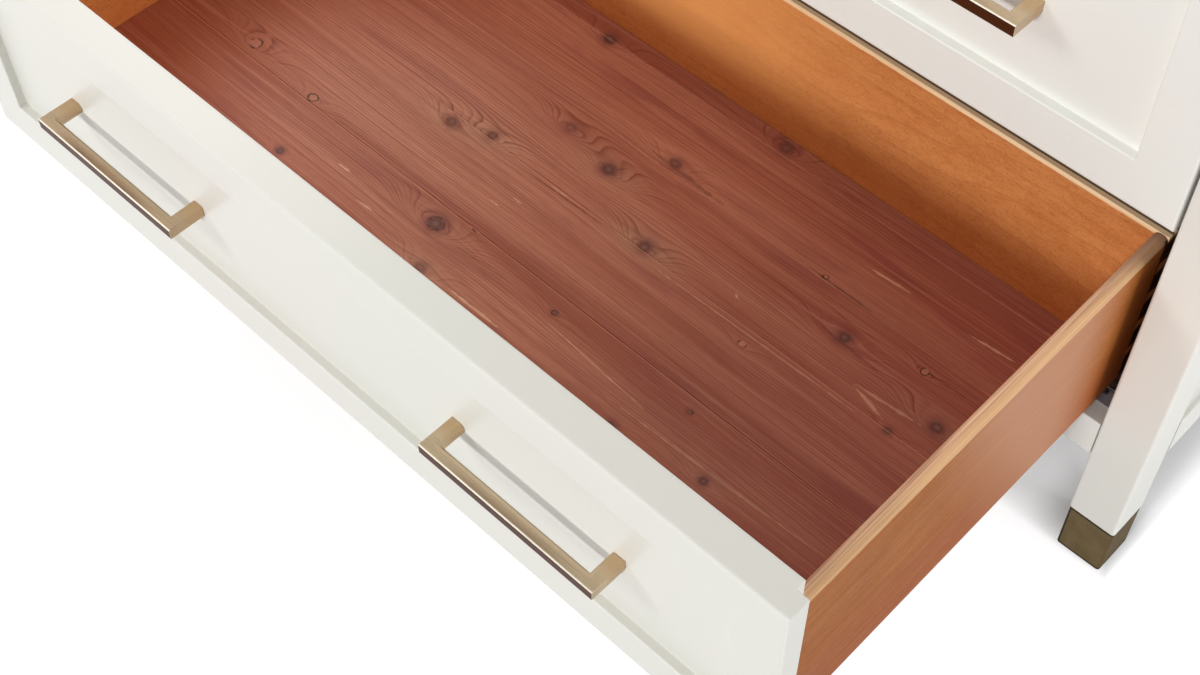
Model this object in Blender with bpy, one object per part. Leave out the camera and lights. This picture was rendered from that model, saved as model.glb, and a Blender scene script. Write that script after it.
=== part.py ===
"""Tall chest with five equal drawers, drawn with its bottom drawer fully open.

Metres, +Z up. The front faces -Y, +X is the chest's right hand end seen from the front.
The origin lies on the floor, at the middle of the room that the chest takes with that drawer open.
Drawers are numbered from the bottom, and each hangs on an empty that slides along Y.
"""
import bmesh
import bpy
from mathutils import Matrix, Vector

# Joints between pieces
FIT_GAP = 0.0003
OVERRUN = 0.004
UNION_SINK = 0.001
WELD_REACH = 0.000005
SAME_PLACE = 0.00005
FLAT_ANGLE = 0.01

# Case
CASE_WIDTH = 1.004
CASE_DEPTH = 0.483
LEG_CLEARANCE = 0.142
POST_SIZE = 0.045
POST_ROUND = 0.0028
FERRULE_HEIGHT = 0.060
FERRULE_INSET = 0.0005
FERRULE_WALL = 0.0015
FERRULE_FLOOR = 0.002
FERRULE_FOOT_EASE = 0.0006
RAIL_HEIGHT = 0.042
RAIL_DEPTH = 0.019
RAIL_EASE = 0.0008
TENON_LENGTH = 0.018
TENON_THICKNESS = 0.008
TENON_SHOULDER = 0.006
TOP_THICKNESS = 0.022
TOP_OVERHANG = 0.006
TOP_ROUND = 0.0025

# Ends, back and base of the case
SIDE_RAIL_THICKNESS = 0.018
SIDE_RAIL_HEIGHT = 0.044
SIDE_RECESS = 0.004
SIDE_TONGUE_THICKNESS = 0.008
SIDE_TONGUE_LENGTH = 0.008
BACK_THICKNESS = 0.006
BACK_REBATE = 0.010
BASE_THICKNESS = 0.018
BASE_FIELD_MARGIN = 0.060
BASE_FIELD_DEPTH = 0.006

# Drawer fronts
DRAWER_COUNT = 5
OPEN_DRAWER = 1
REVEAL = 0.003
END_REVEAL = 0.0025
FRONT_HEIGHT = 0.232
FRONT_THICKNESS = 0.0286
FRONT_LIP_THICKNESS = 0.020
FRONT_LIP_WIDTH = 0.0105
FRONT_FRAME_WIDTH = 0.042
FRONT_RECESS = 0.008
FRONT_ROUND = 0.0022
FRONT_RECESS_EASE = 0.0007

# Drawer boxes
BOX_REAR_ROOM = 0.027
BOX_SIDE_HEIGHT = 0.178
BOX_SIDE_RISE = 0.015
BOX_SIDE_THICKNESS = 0.012
BOX_SIDE_ROUND = 0.0045
BOX_BACK_THICKNESS = 0.012
BOX_BACK_EASE = 0.0008
BOTTOM_RISE = 0.013
BOTTOM_THICKNESS = 0.006
GROOVE_DEPTH = 0.005
TAIL_COUNT = 5
TAIL_GAP = 0.009
TAIL_SLOPE_SHARE = 0.17
CEDAR_THICKNESS = 0.008
CEDAR_BOARD_WIDTH = 0.0795
CEDAR_REAR_STRIP = 0.0181
CEDAR_SEAM_WIDTH = 0.0012
CEDAR_SEAM_DEPTH = 0.0008
CEDAR_SIDE_GAP = 0.0006

# Concealed slides
TRAVEL_SHORTFALL = 0.002
SLIDE_STEEL = 0.0016
SLIDE_BEND = 0.0008
SLIDE_START_GAP = 0.002
SLIDE_REAR_LAP = 0.012
SLIDE_SHELF_RISE = 0.0025
SLIDE_FLANGE_HEIGHT = 0.026
SLIDE_LIP_HEIGHT = 0.007
SLIDE_REACH = 0.024
SLIDE_MIDDLE_SHORTFALL = 0.020
SLIDE_MIDDLE_WIDTH = 0.017
SLIDE_MIDDLE_HEIGHT = 0.011
SLIDE_UPPER_WIDTH = 0.020
SLIDE_SIDE_PLAY = 0.0022
SLIDE_NOTCH_PLAY = 0.003
SLIDE_HOLE_DIAMETER = 0.0044
SLIDE_HOLE_SIDES = 12

# Bar pulls
PULL_SPACING = 0.457
PULL_DROP = 0.001
PULL_LENGTH = 0.172
PULL_PROJECTION = 0.0335
PULL_HEIGHT = 0.0102
PULL_BAR_DEPTH = 0.012
PULL_POST_WIDTH = 0.0130
PULL_INNER_ROUND = 0.0044
PULL_OUTER_EASE = 0.0004

# Places across the chest, from its middle
HALF_WIDTH = CASE_WIDTH / 2
OPENING_HALF = HALF_WIDTH - POST_SIZE
FRONT_HALF = OPENING_HALF - END_REVEAL
BOX_HALF = FRONT_HALF - FRONT_LIP_WIDTH
BOX_INNER_HALF = BOX_HALF - BOX_SIDE_THICKNESS
SLIDE_END_INSET = OPENING_HALF - BOX_INNER_HALF + SLIDE_REACH
SLIDE_X = OPENING_HALF - SLIDE_END_INSET + SLIDE_STEEL + SLIDE_SIDE_PLAY + SLIDE_MIDDLE_WIDTH / 2

# Places along a closed drawer, back from the front of the case
BOX_FRONT_Y = FRONT_LIP_THICKNESS + 2 * FIT_GAP
BOX_SHOULDER_Y = FRONT_THICKNESS + FIT_GAP
BOX_BACK_Y = CASE_DEPTH - BACK_THICKNESS - BOX_REAR_ROOM
BOX_BACK_INNER_Y = BOX_BACK_Y - BOX_BACK_THICKNESS
SLIDE_START_Y = FRONT_THICKNESS + SLIDE_START_GAP
SLIDE_END_Y = CASE_DEPTH - POST_SIZE + SLIDE_REAR_LAP
DRAWER_TRAVEL = BOX_BACK_INNER_Y - BOX_SHOULDER_Y - TRAVEL_SHORTFALL
PULL_REACH = PULL_PROJECTION - FRONT_RECESS
FRONT_Y = (DRAWER_TRAVEL + PULL_REACH - CASE_DEPTH) / 2
BACK_Y = FRONT_Y + CASE_DEPTH

# Places up the case from the floor, then up a drawer from the foot of its front
RAIL_TOP = LEG_CLEARANCE + RAIL_HEIGHT
DRAWER_PITCH = FRONT_HEIGHT + REVEAL
CASE_TOP = RAIL_TOP + REVEAL + DRAWER_COUNT * DRAWER_PITCH
BOX_TOP = BOX_SIDE_RISE + BOX_SIDE_HEIGHT
BOTTOM_Z = BOX_SIDE_RISE + BOTTOM_RISE
BOTTOM_TOP = BOTTOM_Z + BOTTOM_THICKNESS
TAIL_PITCH = BOX_SIDE_HEIGHT / TAIL_COUNT
SLIDE_MIDDLE_Z = SLIDE_SHELF_RISE + SLIDE_STEEL + FIT_GAP
SLIDE_UPPER_Z = SLIDE_MIDDLE_Z + SLIDE_MIDDLE_HEIGHT + FIT_GAP

SIDES = (("left", -1), ("right", 1))


def clear_scene():
    for obj in list(bpy.data.objects):
        bpy.data.objects.remove(obj, do_unlink=True)


def new_collection(name):
    collection = bpy.data.collections.new(name)
    bpy.context.scene.collection.children.link(collection)
    return collection


def new_material(name, color, roughness, metallic):
    material = bpy.data.materials.new(name)
    material.use_nodes = True
    shader = material.node_tree.nodes["Principled BSDF"]
    shader.inputs["Base Color"].default_value = (*color, 1.0)
    shader.inputs["Roughness"].default_value = roughness
    shader.inputs["Metallic"].default_value = metallic
    return material


clear_scene()
PARTS = new_collection("tall_chest")
CUTTERS = new_collection("cutters")
PAINT = new_material("cream_paint", (0.84, 0.81, 0.74), 0.45, 0.0)
BIRCH = new_material("stained_birch", (0.52, 0.23, 0.08), 0.40, 0.0)
CEDAR = new_material("cedar", (0.26, 0.08, 0.045), 0.55, 0.0)
BRONZE = new_material("champagne_bronze", (0.52, 0.40, 0.25), 0.32, 1.0)
AGED_BRONZE = new_material("aged_bronze", (0.20, 0.165, 0.10), 0.42, 1.0)
STEEL = new_material("zinc_steel", (0.62, 0.63, 0.65), 0.35, 1.0)


def add_object(name, mesh, material, parent, location):
    """Links a mesh as a part, or as a hidden cutter where it has no material."""
    obj = bpy.data.objects.new(name, mesh)
    obj.location = location
    obj.parent = parent
    if material is None:
        obj.hide_render = True
        obj.display_type = 'WIRE'
        CUTTERS.objects.link(obj)
    else:
        mesh.materials.clear()
        mesh.materials.append(material)
        PARTS.objects.link(obj)
    return obj


def add_empty(name, location):
    empty = bpy.data.objects.new(name, None)
    empty.location = location
    PARTS.objects.link(empty)
    return empty


def add_box(name, corner, opposite, material=None, parent=None):
    """A box between two opposite corners, with its origin at its middle."""
    size = [abs(end - start) for start, end in zip(corner, opposite)]
    mesh = bpy.data.meshes.new(name)
    bm = bmesh.new()
    bmesh.ops.create_cube(bm, size=1.0, matrix=Matrix.Diagonal((*size, 1.0)))
    bm.to_mesh(mesh)
    bm.free()
    return add_object(name, mesh, material, parent, (Vector(corner) + Vector(opposite)) / 2)


def outline_mesh(name, points, depth, axis):
    """A flat outline, filled and given depth, as a closed mesh about its own plane.

    The outline's two coordinates are X and Y for axis Z, Y and Z for axis X, and X and Z for axis Y.
    """
    curve = bpy.data.curves.new(name, 'CURVE')
    curve.dimensions = '2D'
    curve.fill_mode = 'BOTH'
    curve.extrude = depth / 2
    spline = curve.splines.new('POLY')
    spline.points.add(len(points) - 1)
    for point, (first, second) in zip(spline.points, points):
        point.co = (first, second, 0, 1)
    spline.use_cyclic_u = True
    drawn = bpy.data.objects.new(name + "_outline", curve)
    CUTTERS.objects.link(drawn)
    graph = bpy.context.evaluated_depsgraph_get()
    mesh = bpy.data.meshes.new_from_object(drawn.evaluated_get(graph))
    bpy.data.objects.remove(drawn)
    mesh.name = name
    turns = {
        'X': Matrix(((0, 0, 1), (1, 0, 0), (0, 1, 0))),
        'Y': Matrix(((1, 0, 0), (0, 0, -1), (0, 1, 0))),
        'Z': Matrix.Identity(3),
    }
    mesh.transform(turns[axis].to_4x4())
    bm = bmesh.new()
    bm.from_mesh(mesh)
    bmesh.ops.remove_doubles(bm, verts=bm.verts, dist=WELD_REACH)
    bmesh.ops.dissolve_limit(bm, angle_limit=FLAT_ANGLE, verts=bm.verts, edges=bm.edges)
    bmesh.ops.recalc_face_normals(bm, faces=bm.faces)
    bm.to_mesh(mesh)
    bm.free()
    return mesh


def add_outline(name, points, axis, start, end, material=None, parent=None):
    """An outline pushed along an axis from start to end."""
    direction = {'X': (1, 0, 0), 'Y': (0, 1, 0), 'Z': (0, 0, 1)}[axis]
    middle = Vector(direction) * ((start + end) / 2)
    mesh = outline_mesh(name, points, abs(end - start), axis)
    return add_object(name, mesh, material, parent, middle)


def round_edges(obj, chosen, radius, segments):
    """Rounds the edges whose two end points, in the object's own space, the test accepts."""
    bm = bmesh.new()
    bm.from_mesh(obj.data)
    edges = [edge for edge in bm.edges if chosen(*(vert.co for vert in edge.verts))]
    bmesh.ops.bevel(bm, geom=edges, offset=radius, segments=segments, profile=0.5, affect='EDGES')
    bm.to_mesh(obj.data)
    bm.free()


def runs_along(axis):
    """A test for edges that run along one axis, given by its number."""
    others = [number for number in range(3) if number != axis]

    def test(start, end):
        return all(abs(start[number] - end[number]) < SAME_PLACE for number in others)
    return test


def cut(obj, cutter):
    modifier = obj.modifiers.new("cut " + cutter.name, 'BOOLEAN')
    modifier.operation = 'DIFFERENCE'
    modifier.object = cutter


def join(obj, addition):
    modifier = obj.modifiers.new("join " + addition.name, 'BOOLEAN')
    modifier.operation = 'UNION'
    modifier.object = addition


def post_square(side, end, inset):
    """Two opposite corners, in plan, of a post's square drawn in by inset.

    side is -1 at the left and 1 at the right, and end is -1 at the front and 1 at the rear.
    """
    outer_y = FRONT_Y if end < 0 else BACK_Y
    outer = (side * (HALF_WIDTH - inset), outer_y - end * inset)
    inner = (side * (OPENING_HALF + inset), outer_y - end * (POST_SIZE - inset))
    return outer, inner


def build_post(name, side, end):
    """A square post with a spigot at its foot, grooved for the end panel."""
    outer, inner = post_square(side, end, 0)
    foot = FERRULE_HEIGHT + FIT_GAP
    post = add_box(name, (*outer, foot), (*inner, CASE_TOP), PAINT)
    round_edges(post, runs_along(2), POST_ROUND, 3)
    outer, inner = post_square(side, end, FERRULE_INSET + FERRULE_WALL + FIT_GAP)
    spigot = add_box(
        name + "_spigot", (*outer, FERRULE_FLOOR + FIT_GAP), (*inner, foot + UNION_SINK))
    round_edges(spigot, runs_along(2), POST_ROUND - FERRULE_INSET, 2)
    join(post, spigot)
    cut(post, side_groove(name, side, end))
    if end < 0:
        cut(post, rail_tenon(name + "_mortise", FIT_GAP))
    else:
        cut(post, back_rebate(name, side))


def side_groove(name, side, end):
    """The groove in a post that holds the tongue of the end panel."""
    inner_y = post_square(side, end, 0)[1][1]
    tongue_out = HALF_WIDTH - SIDE_RECESS - FIT_GAP
    return add_box(
        name + "_groove",
        (
            side * (tongue_out - SIDE_TONGUE_THICKNESS - FIT_GAP),
            inner_y - end * OVERRUN,
            LEG_CLEARANCE - FIT_GAP,
        ),
        (
            side * (tongue_out + FIT_GAP),
            inner_y + end * (SIDE_TONGUE_LENGTH + FIT_GAP),
            CASE_TOP + OVERRUN,
        ),
    )


def back_rebate(name, side):
    """The step at the back of a rear post that the back panel lies in."""
    return add_box(
        name + "_rebate",
        (side * (OPENING_HALF - OVERRUN), BACK_Y - BACK_THICKNESS - FIT_GAP, LEG_CLEARANCE - FIT_GAP),
        (side * (OPENING_HALF + BACK_REBATE + FIT_GAP), BACK_Y + OVERRUN, CASE_TOP + OVERRUN),
    )


def rail_tenon(name, growth):
    """The bottom rail's two tenons as one bar, grown all round for the mortises."""
    half = OPENING_HALF + TENON_LENGTH + growth
    middle_y = FRONT_Y + RAIL_DEPTH / 2
    half_depth = TENON_THICKNESS / 2 + growth
    return add_box(
        name,
        (-half, middle_y - half_depth, LEG_CLEARANCE + TENON_SHOULDER - growth),
        (half, middle_y + half_depth, RAIL_TOP - TENON_SHOULDER + growth),
    )


def build_ferrule(name, side, end):
    """A square metal cup that the foot of a post stands in."""
    outer, inner = post_square(side, end, FERRULE_INSET)
    ferrule = add_box(name, (*outer, 0), (*inner, FERRULE_HEIGHT), AGED_BRONZE)
    round_edges(ferrule, runs_along(2), POST_ROUND, 3)
    foot = SAME_PLACE - FERRULE_HEIGHT / 2
    round_edges(ferrule, lambda a, b: max(a.z, b.z) < foot, FERRULE_FOOT_EASE, 1)
    outer, inner = post_square(side, end, FERRULE_INSET + FERRULE_WALL)
    cup = add_box(name + "_cup", (*outer, FERRULE_FLOOR), (*inner, FERRULE_HEIGHT + OVERRUN))
    round_edges(cup, runs_along(2), POST_ROUND - FERRULE_INSET - FIT_GAP, 2)
    cut(ferrule, cup)


def build_side_panel(name, side):
    """One end of the case: flush rails at top and bottom, a recessed field and a tongue at each post."""
    face = side * HALF_WIDTH
    field = side * (HALF_WIDTH - SIDE_RECESS)
    back = side * (HALF_WIDTH - SIDE_RAIL_THICKNESS)
    foot = LEG_CLEARANCE
    head = CASE_TOP - FIT_GAP
    outline = [
        (back, foot), (face, foot), (face, foot + SIDE_RAIL_HEIGHT), (field, foot + SIDE_RAIL_HEIGHT),
        (field, head - SIDE_RAIL_HEIGHT), (face, head - SIDE_RAIL_HEIGHT), (face, head), (back, head),
    ]
    front = FRONT_Y + POST_SIZE + FIT_GAP
    rear = BACK_Y - POST_SIZE - FIT_GAP
    panel = add_outline(name, outline, 'Y', front, rear, PAINT)
    tongue_out = HALF_WIDTH - SIDE_RECESS - FIT_GAP
    tongue = add_box(
        name + "_tongue",
        (side * tongue_out, front - SIDE_TONGUE_LENGTH, foot + FIT_GAP),
        (side * (tongue_out - SIDE_TONGUE_THICKNESS), rear + SIDE_TONGUE_LENGTH, head - FIT_GAP),
    )
    join(panel, tongue)


def build_front_rail():
    rail = add_box(
        "front_rail",
        (-OPENING_HALF + FIT_GAP, FRONT_Y, LEG_CLEARANCE),
        (OPENING_HALF - FIT_GAP, FRONT_Y + RAIL_DEPTH, RAIL_TOP),
        PAINT,
    )
    round_edges(rail, runs_along(0), RAIL_EASE, 1)
    join(rail, rail_tenon("front_rail_tenon", 0))


def cut_corners(board, neck, half, ends, low, high, parent=None):
    """Takes the four corners off a board. Each end has a shoulder and the place of its edge."""
    for number, (shoulder, edge) in enumerate(ends):
        away = OVERRUN if edge > shoulder else -OVERRUN
        for label, side in SIDES:
            corner = add_box(
                f"{board.name}_corner_{number}_{label}",
                (side * neck, shoulder, low - OVERRUN),
                (side * (half + OVERRUN), edge + away, high + OVERRUN),
                None, parent,
            )
            cut(board, corner)


def build_base_frame():
    """The board behind the bottom rail, notched round the posts and sunk below like a framed panel."""
    half = HALF_WIDTH - SIDE_RAIL_THICKNESS - FIT_GAP
    neck = OPENING_HALF - FIT_GAP
    front = FRONT_Y + RAIL_DEPTH + FIT_GAP
    rear = BACK_Y - BACK_THICKNESS - FIT_GAP
    low = RAIL_TOP - BASE_THICKNESS
    board = add_box("base_frame", (-half, front, low), (half, rear, RAIL_TOP), PAINT)
    shoulder_front = FRONT_Y + POST_SIZE + FIT_GAP
    shoulder_rear = BACK_Y - POST_SIZE - FIT_GAP
    ends = ((shoulder_front, front), (shoulder_rear, rear))
    cut_corners(board, neck, half, ends, low, RAIL_TOP)
    field = add_box(
        "base_frame_field",
        (-neck + BASE_FIELD_MARGIN, front + BASE_FIELD_MARGIN, low - OVERRUN),
        (neck - BASE_FIELD_MARGIN, rear - BASE_FIELD_MARGIN, low + BASE_FIELD_DEPTH),
    )
    cut(board, field)


def build_back_panel():
    half = OPENING_HALF + BACK_REBATE
    low = LEG_CLEARANCE
    high = CASE_TOP - FIT_GAP
    add_box("back_panel", (-half, BACK_Y - BACK_THICKNESS, low), (half, BACK_Y, high), PAINT)


def build_top_panel():
    half = HALF_WIDTH + TOP_OVERHANG
    low = CASE_TOP + FIT_GAP
    front = FRONT_Y - TOP_OVERHANG
    top = add_box("top_panel", (-half, front, low), (half, BACK_Y, low + TOP_THICKNESS), PAINT)
    round_edges(top, lambda a, b: True, TOP_ROUND, 3)


def add_wedge(name, root_y, tip_y, middle_z, root_half, tip_half, ends, parent):
    """A cutter for one wedge of a dovetail joint, across the thickness of a drawer side."""
    outline = [
        (root_y, middle_z - root_half), (tip_y, middle_z - tip_half),
        (tip_y, middle_z + tip_half), (root_y, middle_z + root_half),
    ]
    return add_outline(name, outline, 'X', *ends, None, parent)


def cut_pins(board, name, root_y, tip_y, first, parent, side):
    """Cuts the spaces between the tails at one end of a drawer side, from the first one up."""
    sign = 1 if tip_y > root_y else -1
    reach = abs(tip_y - root_y)
    root_half = TAIL_GAP / 2 + TAIL_SLOPE_SHARE * reach
    tip_half = TAIL_GAP / 2 - TAIL_SLOPE_SHARE * OVERRUN
    ends = (side * (BOX_INNER_HALF - OVERRUN), side * (BOX_HALF + OVERRUN))
    for number in range(first, TAIL_COUNT + 1):
        middle = BOX_SIDE_RISE + number * TAIL_PITCH
        wedge = add_wedge(
            f"{name}_{number}", root_y, tip_y + sign * OVERRUN, middle,
            root_half, tip_half, ends, parent,
        )
        cut(board, wedge)


def cut_sockets(board, name, root_y, tip_y, floor, parent, side):
    """Cuts the sockets that the tails of a drawer side enter, to a floor beyond the tips."""
    sign = 1 if tip_y > root_y else -1
    reach = abs(tip_y - root_y)
    tip_half = (TAIL_PITCH - TAIL_GAP) / 2 + FIT_GAP + TAIL_SLOPE_SHARE * floor
    root_half = tip_half - TAIL_SLOPE_SHARE * (reach + floor + OVERRUN)
    ends = (side * (BOX_INNER_HALF - FIT_GAP), side * (BOX_HALF + OVERRUN))
    for number in range(TAIL_COUNT):
        middle = BOX_SIDE_RISE + (number + 0.5) * TAIL_PITCH
        wedge = add_wedge(
            f"{name}_{number}", root_y - sign * OVERRUN, tip_y + sign * floor, middle,
            root_half, tip_half, ends, parent,
        )
        cut(board, wedge)


def build_front(number, parent):
    """A drawer front: thin lips at its ends, a recessed field, sockets and a groove behind."""
    name = f"drawer_{number}_front"
    plan = [
        (-FRONT_HALF, 0), (FRONT_HALF, 0), (FRONT_HALF, FRONT_LIP_THICKNESS),
        (BOX_HALF, FRONT_LIP_THICKNESS), (BOX_HALF, FRONT_THICKNESS),
        (-BOX_HALF, FRONT_THICKNESS), (-BOX_HALF, FRONT_LIP_THICKNESS),
        (-FRONT_HALF, FRONT_LIP_THICKNESS),
    ]
    front = add_outline(name, plan, 'Z', 0, FRONT_HEIGHT, PAINT, parent)
    round_edges(front, lambda a, b: max(a.y, b.y) < SAME_PLACE, FRONT_ROUND, 2)
    sink_field(front.data)
    for label, side in SIDES:
        cut_sockets(
            front, f"{name}_{label}_socket", FRONT_THICKNESS, BOX_FRONT_Y, FIT_GAP, parent, side)
    groove_half = BOX_INNER_HALF - OVERRUN - FIT_GAP
    groove = add_box(
        name + "_groove",
        (-groove_half, FRONT_THICKNESS - GROOVE_DEPTH, BOTTOM_Z - FIT_GAP),
        (groove_half, FRONT_THICKNESS + OVERRUN, BOTTOM_TOP + FIT_GAP),
        None, parent,
    )
    cut(front, groove)


def sink_field(mesh):
    """Sinks the middle of the front face inside a frame, with an eased edge to the frame."""
    bm = bmesh.new()
    bm.from_mesh(mesh)
    bm.normal_update()
    face = min(bm.faces, key=lambda each: (each.calc_center_median().y, -each.calc_area()))
    steps = (
        (FRONT_FRAME_WIDTH - FRONT_ROUND, 0),
        (FRONT_RECESS_EASE, FRONT_RECESS_EASE),
        (0, FRONT_RECESS - FRONT_RECESS_EASE),
    )
    for inward, deeper in steps:
        bmesh.ops.inset_region(bm, faces=[face], thickness=inward, depth=-deeper, use_even_offset=True)
    bm.to_mesh(mesh)
    bm.free()


def build_box_side(number, label, side, parent):
    """One side board of a drawer, with tails at both ends, a rounded top and the bottom's groove."""
    name = f"drawer_{number}_side_{label}"
    board = add_box(
        name,
        (side * BOX_INNER_HALF, BOX_FRONT_Y, BOX_SIDE_RISE),
        (side * BOX_HALF, BOX_BACK_Y, BOX_TOP),
        BIRCH, parent,
    )
    round_rim(board, 1, BOX_SIDE_ROUND, 4)
    cut_pins(board, name + "_front_pin", BOX_SHOULDER_Y, BOX_FRONT_Y, 0, parent, side)
    cut_pins(board, name + "_back_pin", BOX_BACK_INNER_Y - FIT_GAP, BOX_BACK_Y, 1, parent, side)
    groove = add_box(
        name + "_groove",
        (side * (BOX_INNER_HALF - OVERRUN), BOX_SHOULDER_Y + FIT_GAP, BOTTOM_Z - FIT_GAP),
        (side * (BOX_INNER_HALF + GROOVE_DEPTH), BOX_BACK_INNER_Y - 2 * FIT_GAP, BOTTOM_TOP + FIT_GAP),
        None, parent,
    )
    cut(board, groove)


def round_rim(board, axis, radius, segments):
    """Rounds the upper edges that run along an axis, on a board as high as a drawer side."""
    along = runs_along(axis)
    crown = BOX_SIDE_HEIGHT / 2 - SAME_PLACE
    round_edges(board, lambda a, b: along(a, b) and min(a.z, b.z) > crown, radius, segments)


def cut_slide_notches(board, name, outer, parent):
    """Opens the lower corners of a drawer's back for the slides to pass."""
    for label, side in SIDES:
        notch = add_box(
            f"{name}_{label}_notch",
            (side * outer, BOX_BACK_INNER_Y - OVERRUN, BOX_SIDE_RISE - OVERRUN),
            (
                side * (OPENING_HALF - SLIDE_END_INSET - SLIDE_NOTCH_PLAY),
                BOX_BACK_Y + OVERRUN,
                (BOTTOM_Z + BOTTOM_TOP) / 2,
            ),
            None, parent,
        )
        cut(board, notch)


def build_box_back(number, parent):
    """The back board of a drawer, open at its lower corners where the slides run through."""
    name = f"drawer_{number}_back"
    board = add_box(
        name,
        (-BOX_HALF, BOX_BACK_INNER_Y, BOX_SIDE_RISE),
        (BOX_HALF, BOX_BACK_Y, BOX_TOP),
        BIRCH, parent,
    )
    round_rim(board, 0, BOX_BACK_EASE, 1)
    for label, side in SIDES:
        cut_sockets(
            board, f"{name}_{label}_socket", BOX_BACK_INNER_Y, BOX_BACK_Y, OVERRUN, parent, side)
    groove_half = BOX_INNER_HALF - OVERRUN - FIT_GAP
    groove = add_box(
        name + "_groove",
        (-groove_half, BOX_BACK_INNER_Y - OVERRUN, BOTTOM_Z - FIT_GAP),
        (groove_half, BOX_BACK_INNER_Y + GROOVE_DEPTH, BOTTOM_TOP + FIT_GAP),
        None, parent,
    )
    cut(board, groove)
    cut_slide_notches(board, name, BOX_HALF + OVERRUN, parent)


def build_bottom(number, parent):
    """The thin bottom board, whose four edges lie in the grooves round it."""
    name = f"drawer_{number}_bottom"
    half = BOX_INNER_HALF + GROOVE_DEPTH - FIT_GAP
    neck = BOX_INNER_HALF - OVERRUN - 2 * FIT_GAP
    front = FRONT_THICKNESS - GROOVE_DEPTH + FIT_GAP
    rear = BOX_BACK_INNER_Y + GROOVE_DEPTH - FIT_GAP
    board = add_box(name, (-half, front, BOTTOM_Z), (half, rear, BOTTOM_TOP), BIRCH, parent)
    shoulder_front = BOX_SHOULDER_Y + 2 * FIT_GAP
    shoulder_rear = BOX_BACK_INNER_Y - 3 * FIT_GAP
    ends = ((shoulder_front, front), (shoulder_rear, rear))
    cut_corners(board, neck, half, ends, BOTTOM_Z, BOTTOM_TOP, parent)


def build_cedar(number, parent):
    """The cedar lining: boards of one width, from a narrow strip at the rear, with fine seams."""
    low = BOTTOM_TOP + FIT_GAP
    high = low + CEDAR_THICKNESS
    front = BOX_SHOULDER_Y + CEDAR_SIDE_GAP
    rear = BOX_BACK_INNER_Y - CEDAR_SIDE_GAP
    outline = [(rear, low), (front, low), (front, high)]
    seam_count = int((rear - front - CEDAR_REAR_STRIP) / CEDAR_BOARD_WIDTH)
    for seam in range(seam_count, -1, -1):
        middle = rear - CEDAR_REAR_STRIP - seam * CEDAR_BOARD_WIDTH
        outline.append((middle - CEDAR_SEAM_WIDTH / 2, high))
        outline.append((middle, high - CEDAR_SEAM_DEPTH))
        outline.append((middle + CEDAR_SEAM_WIDTH / 2, high))
    outline.append((rear, high))
    half = BOX_INNER_HALF - CEDAR_SIDE_GAP
    add_outline(f"drawer_{number}_cedar", outline, 'X', -half, half, CEDAR, parent)


def build_glued_box(number, parent):
    """A drawer box as one glued unit: back, sides, bottom and the slides' upper members."""
    name = f"drawer_{number}_box"
    sunk_half = BOX_INNER_HALF + UNION_SINK
    box = add_box(
        name,
        (-sunk_half, BOX_BACK_INNER_Y, BOX_SIDE_RISE),
        (sunk_half, BOX_BACK_Y, BOX_TOP),
        BIRCH, parent,
    )
    round_rim(box, 0, BOX_BACK_EASE, 1)
    cut_slide_notches(box, name, BOX_HALF, parent)
    bottom = add_box(
        name + "_bottom",
        (-sunk_half, BOX_SHOULDER_Y, BOTTOM_Z),
        (sunk_half, BOX_BACK_INNER_Y + UNION_SINK, BOTTOM_TOP),
        None, parent,
    )
    join(box, bottom)
    for label, side in SIDES:
        board = add_box(
            f"{name}_{label}_side",
            (side * BOX_INNER_HALF, BOX_FRONT_Y, BOX_SIDE_RISE),
            (side * BOX_HALF, BOX_BACK_Y, BOX_TOP),
            None, parent,
        )
        round_rim(board, 1, BOX_SIDE_ROUND, 3)
        join(box, board)
        cut_pins(box, f"{name}_{label}_pin", BOX_SHOULDER_Y, BOX_FRONT_Y, 0, parent, side)
        join(box, add_slide_upper(f"{name}_{label}_member", side, BOTTOM_Z + UNION_SINK, None, parent))


def channel_outline(middle, half, low, high):
    """The section of a channel that is open below, as points across X and up Z."""
    roof = high - SLIDE_STEEL
    wall = half - SLIDE_STEEL
    return [
        (middle - half, low), (middle - half, high), (middle + half, high), (middle + half, low),
        (middle + wall, low), (middle + wall, roof), (middle - wall, roof), (middle - wall, low),
    ]


def bend_channel(channel, middle, half, high):
    """Rounds the two bends of a channel that is open below, outside and inside."""
    wall = half - SLIDE_STEEL
    roof = high - SLIDE_STEEL
    bend_steel(channel, [(middle - half, high), (middle + half, high)], SLIDE_BEND + SLIDE_STEEL)
    bend_steel(channel, [(middle - wall, roof), (middle + wall, roof)], SLIDE_BEND)


def bend_steel(member, corners, radius):
    """Rounds the edges of a drawn member that pass through the given corners of its section."""
    along = runs_along(1)

    def test(start, end):
        near = [abs(start.x - x) + abs(start.z - z) < SAME_PLACE for x, z in corners]
        return along(start, end) and any(near)
    round_edges(member, test, radius, 2)


def add_slide_upper(name, side, top, material, parent):
    """The member under the drawer's bottom."""
    outline = channel_outline(side * SLIDE_X, SLIDE_UPPER_WIDTH / 2, SLIDE_UPPER_Z, top)
    return add_outline(name, outline, 'Y', SLIDE_START_Y, BOX_BACK_Y - FIT_GAP, material, parent)


def build_slide_middle(name, side, parent):
    high = SLIDE_MIDDLE_Z + SLIDE_MIDDLE_HEIGHT
    outline = channel_outline(side * SLIDE_X, SLIDE_MIDDLE_WIDTH / 2, SLIDE_MIDDLE_Z, high)
    rear = SLIDE_END_Y - SLIDE_MIDDLE_SHORTFALL
    add_outline(name, outline, 'Y', SLIDE_START_Y, rear, STEEL, parent)


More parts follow.
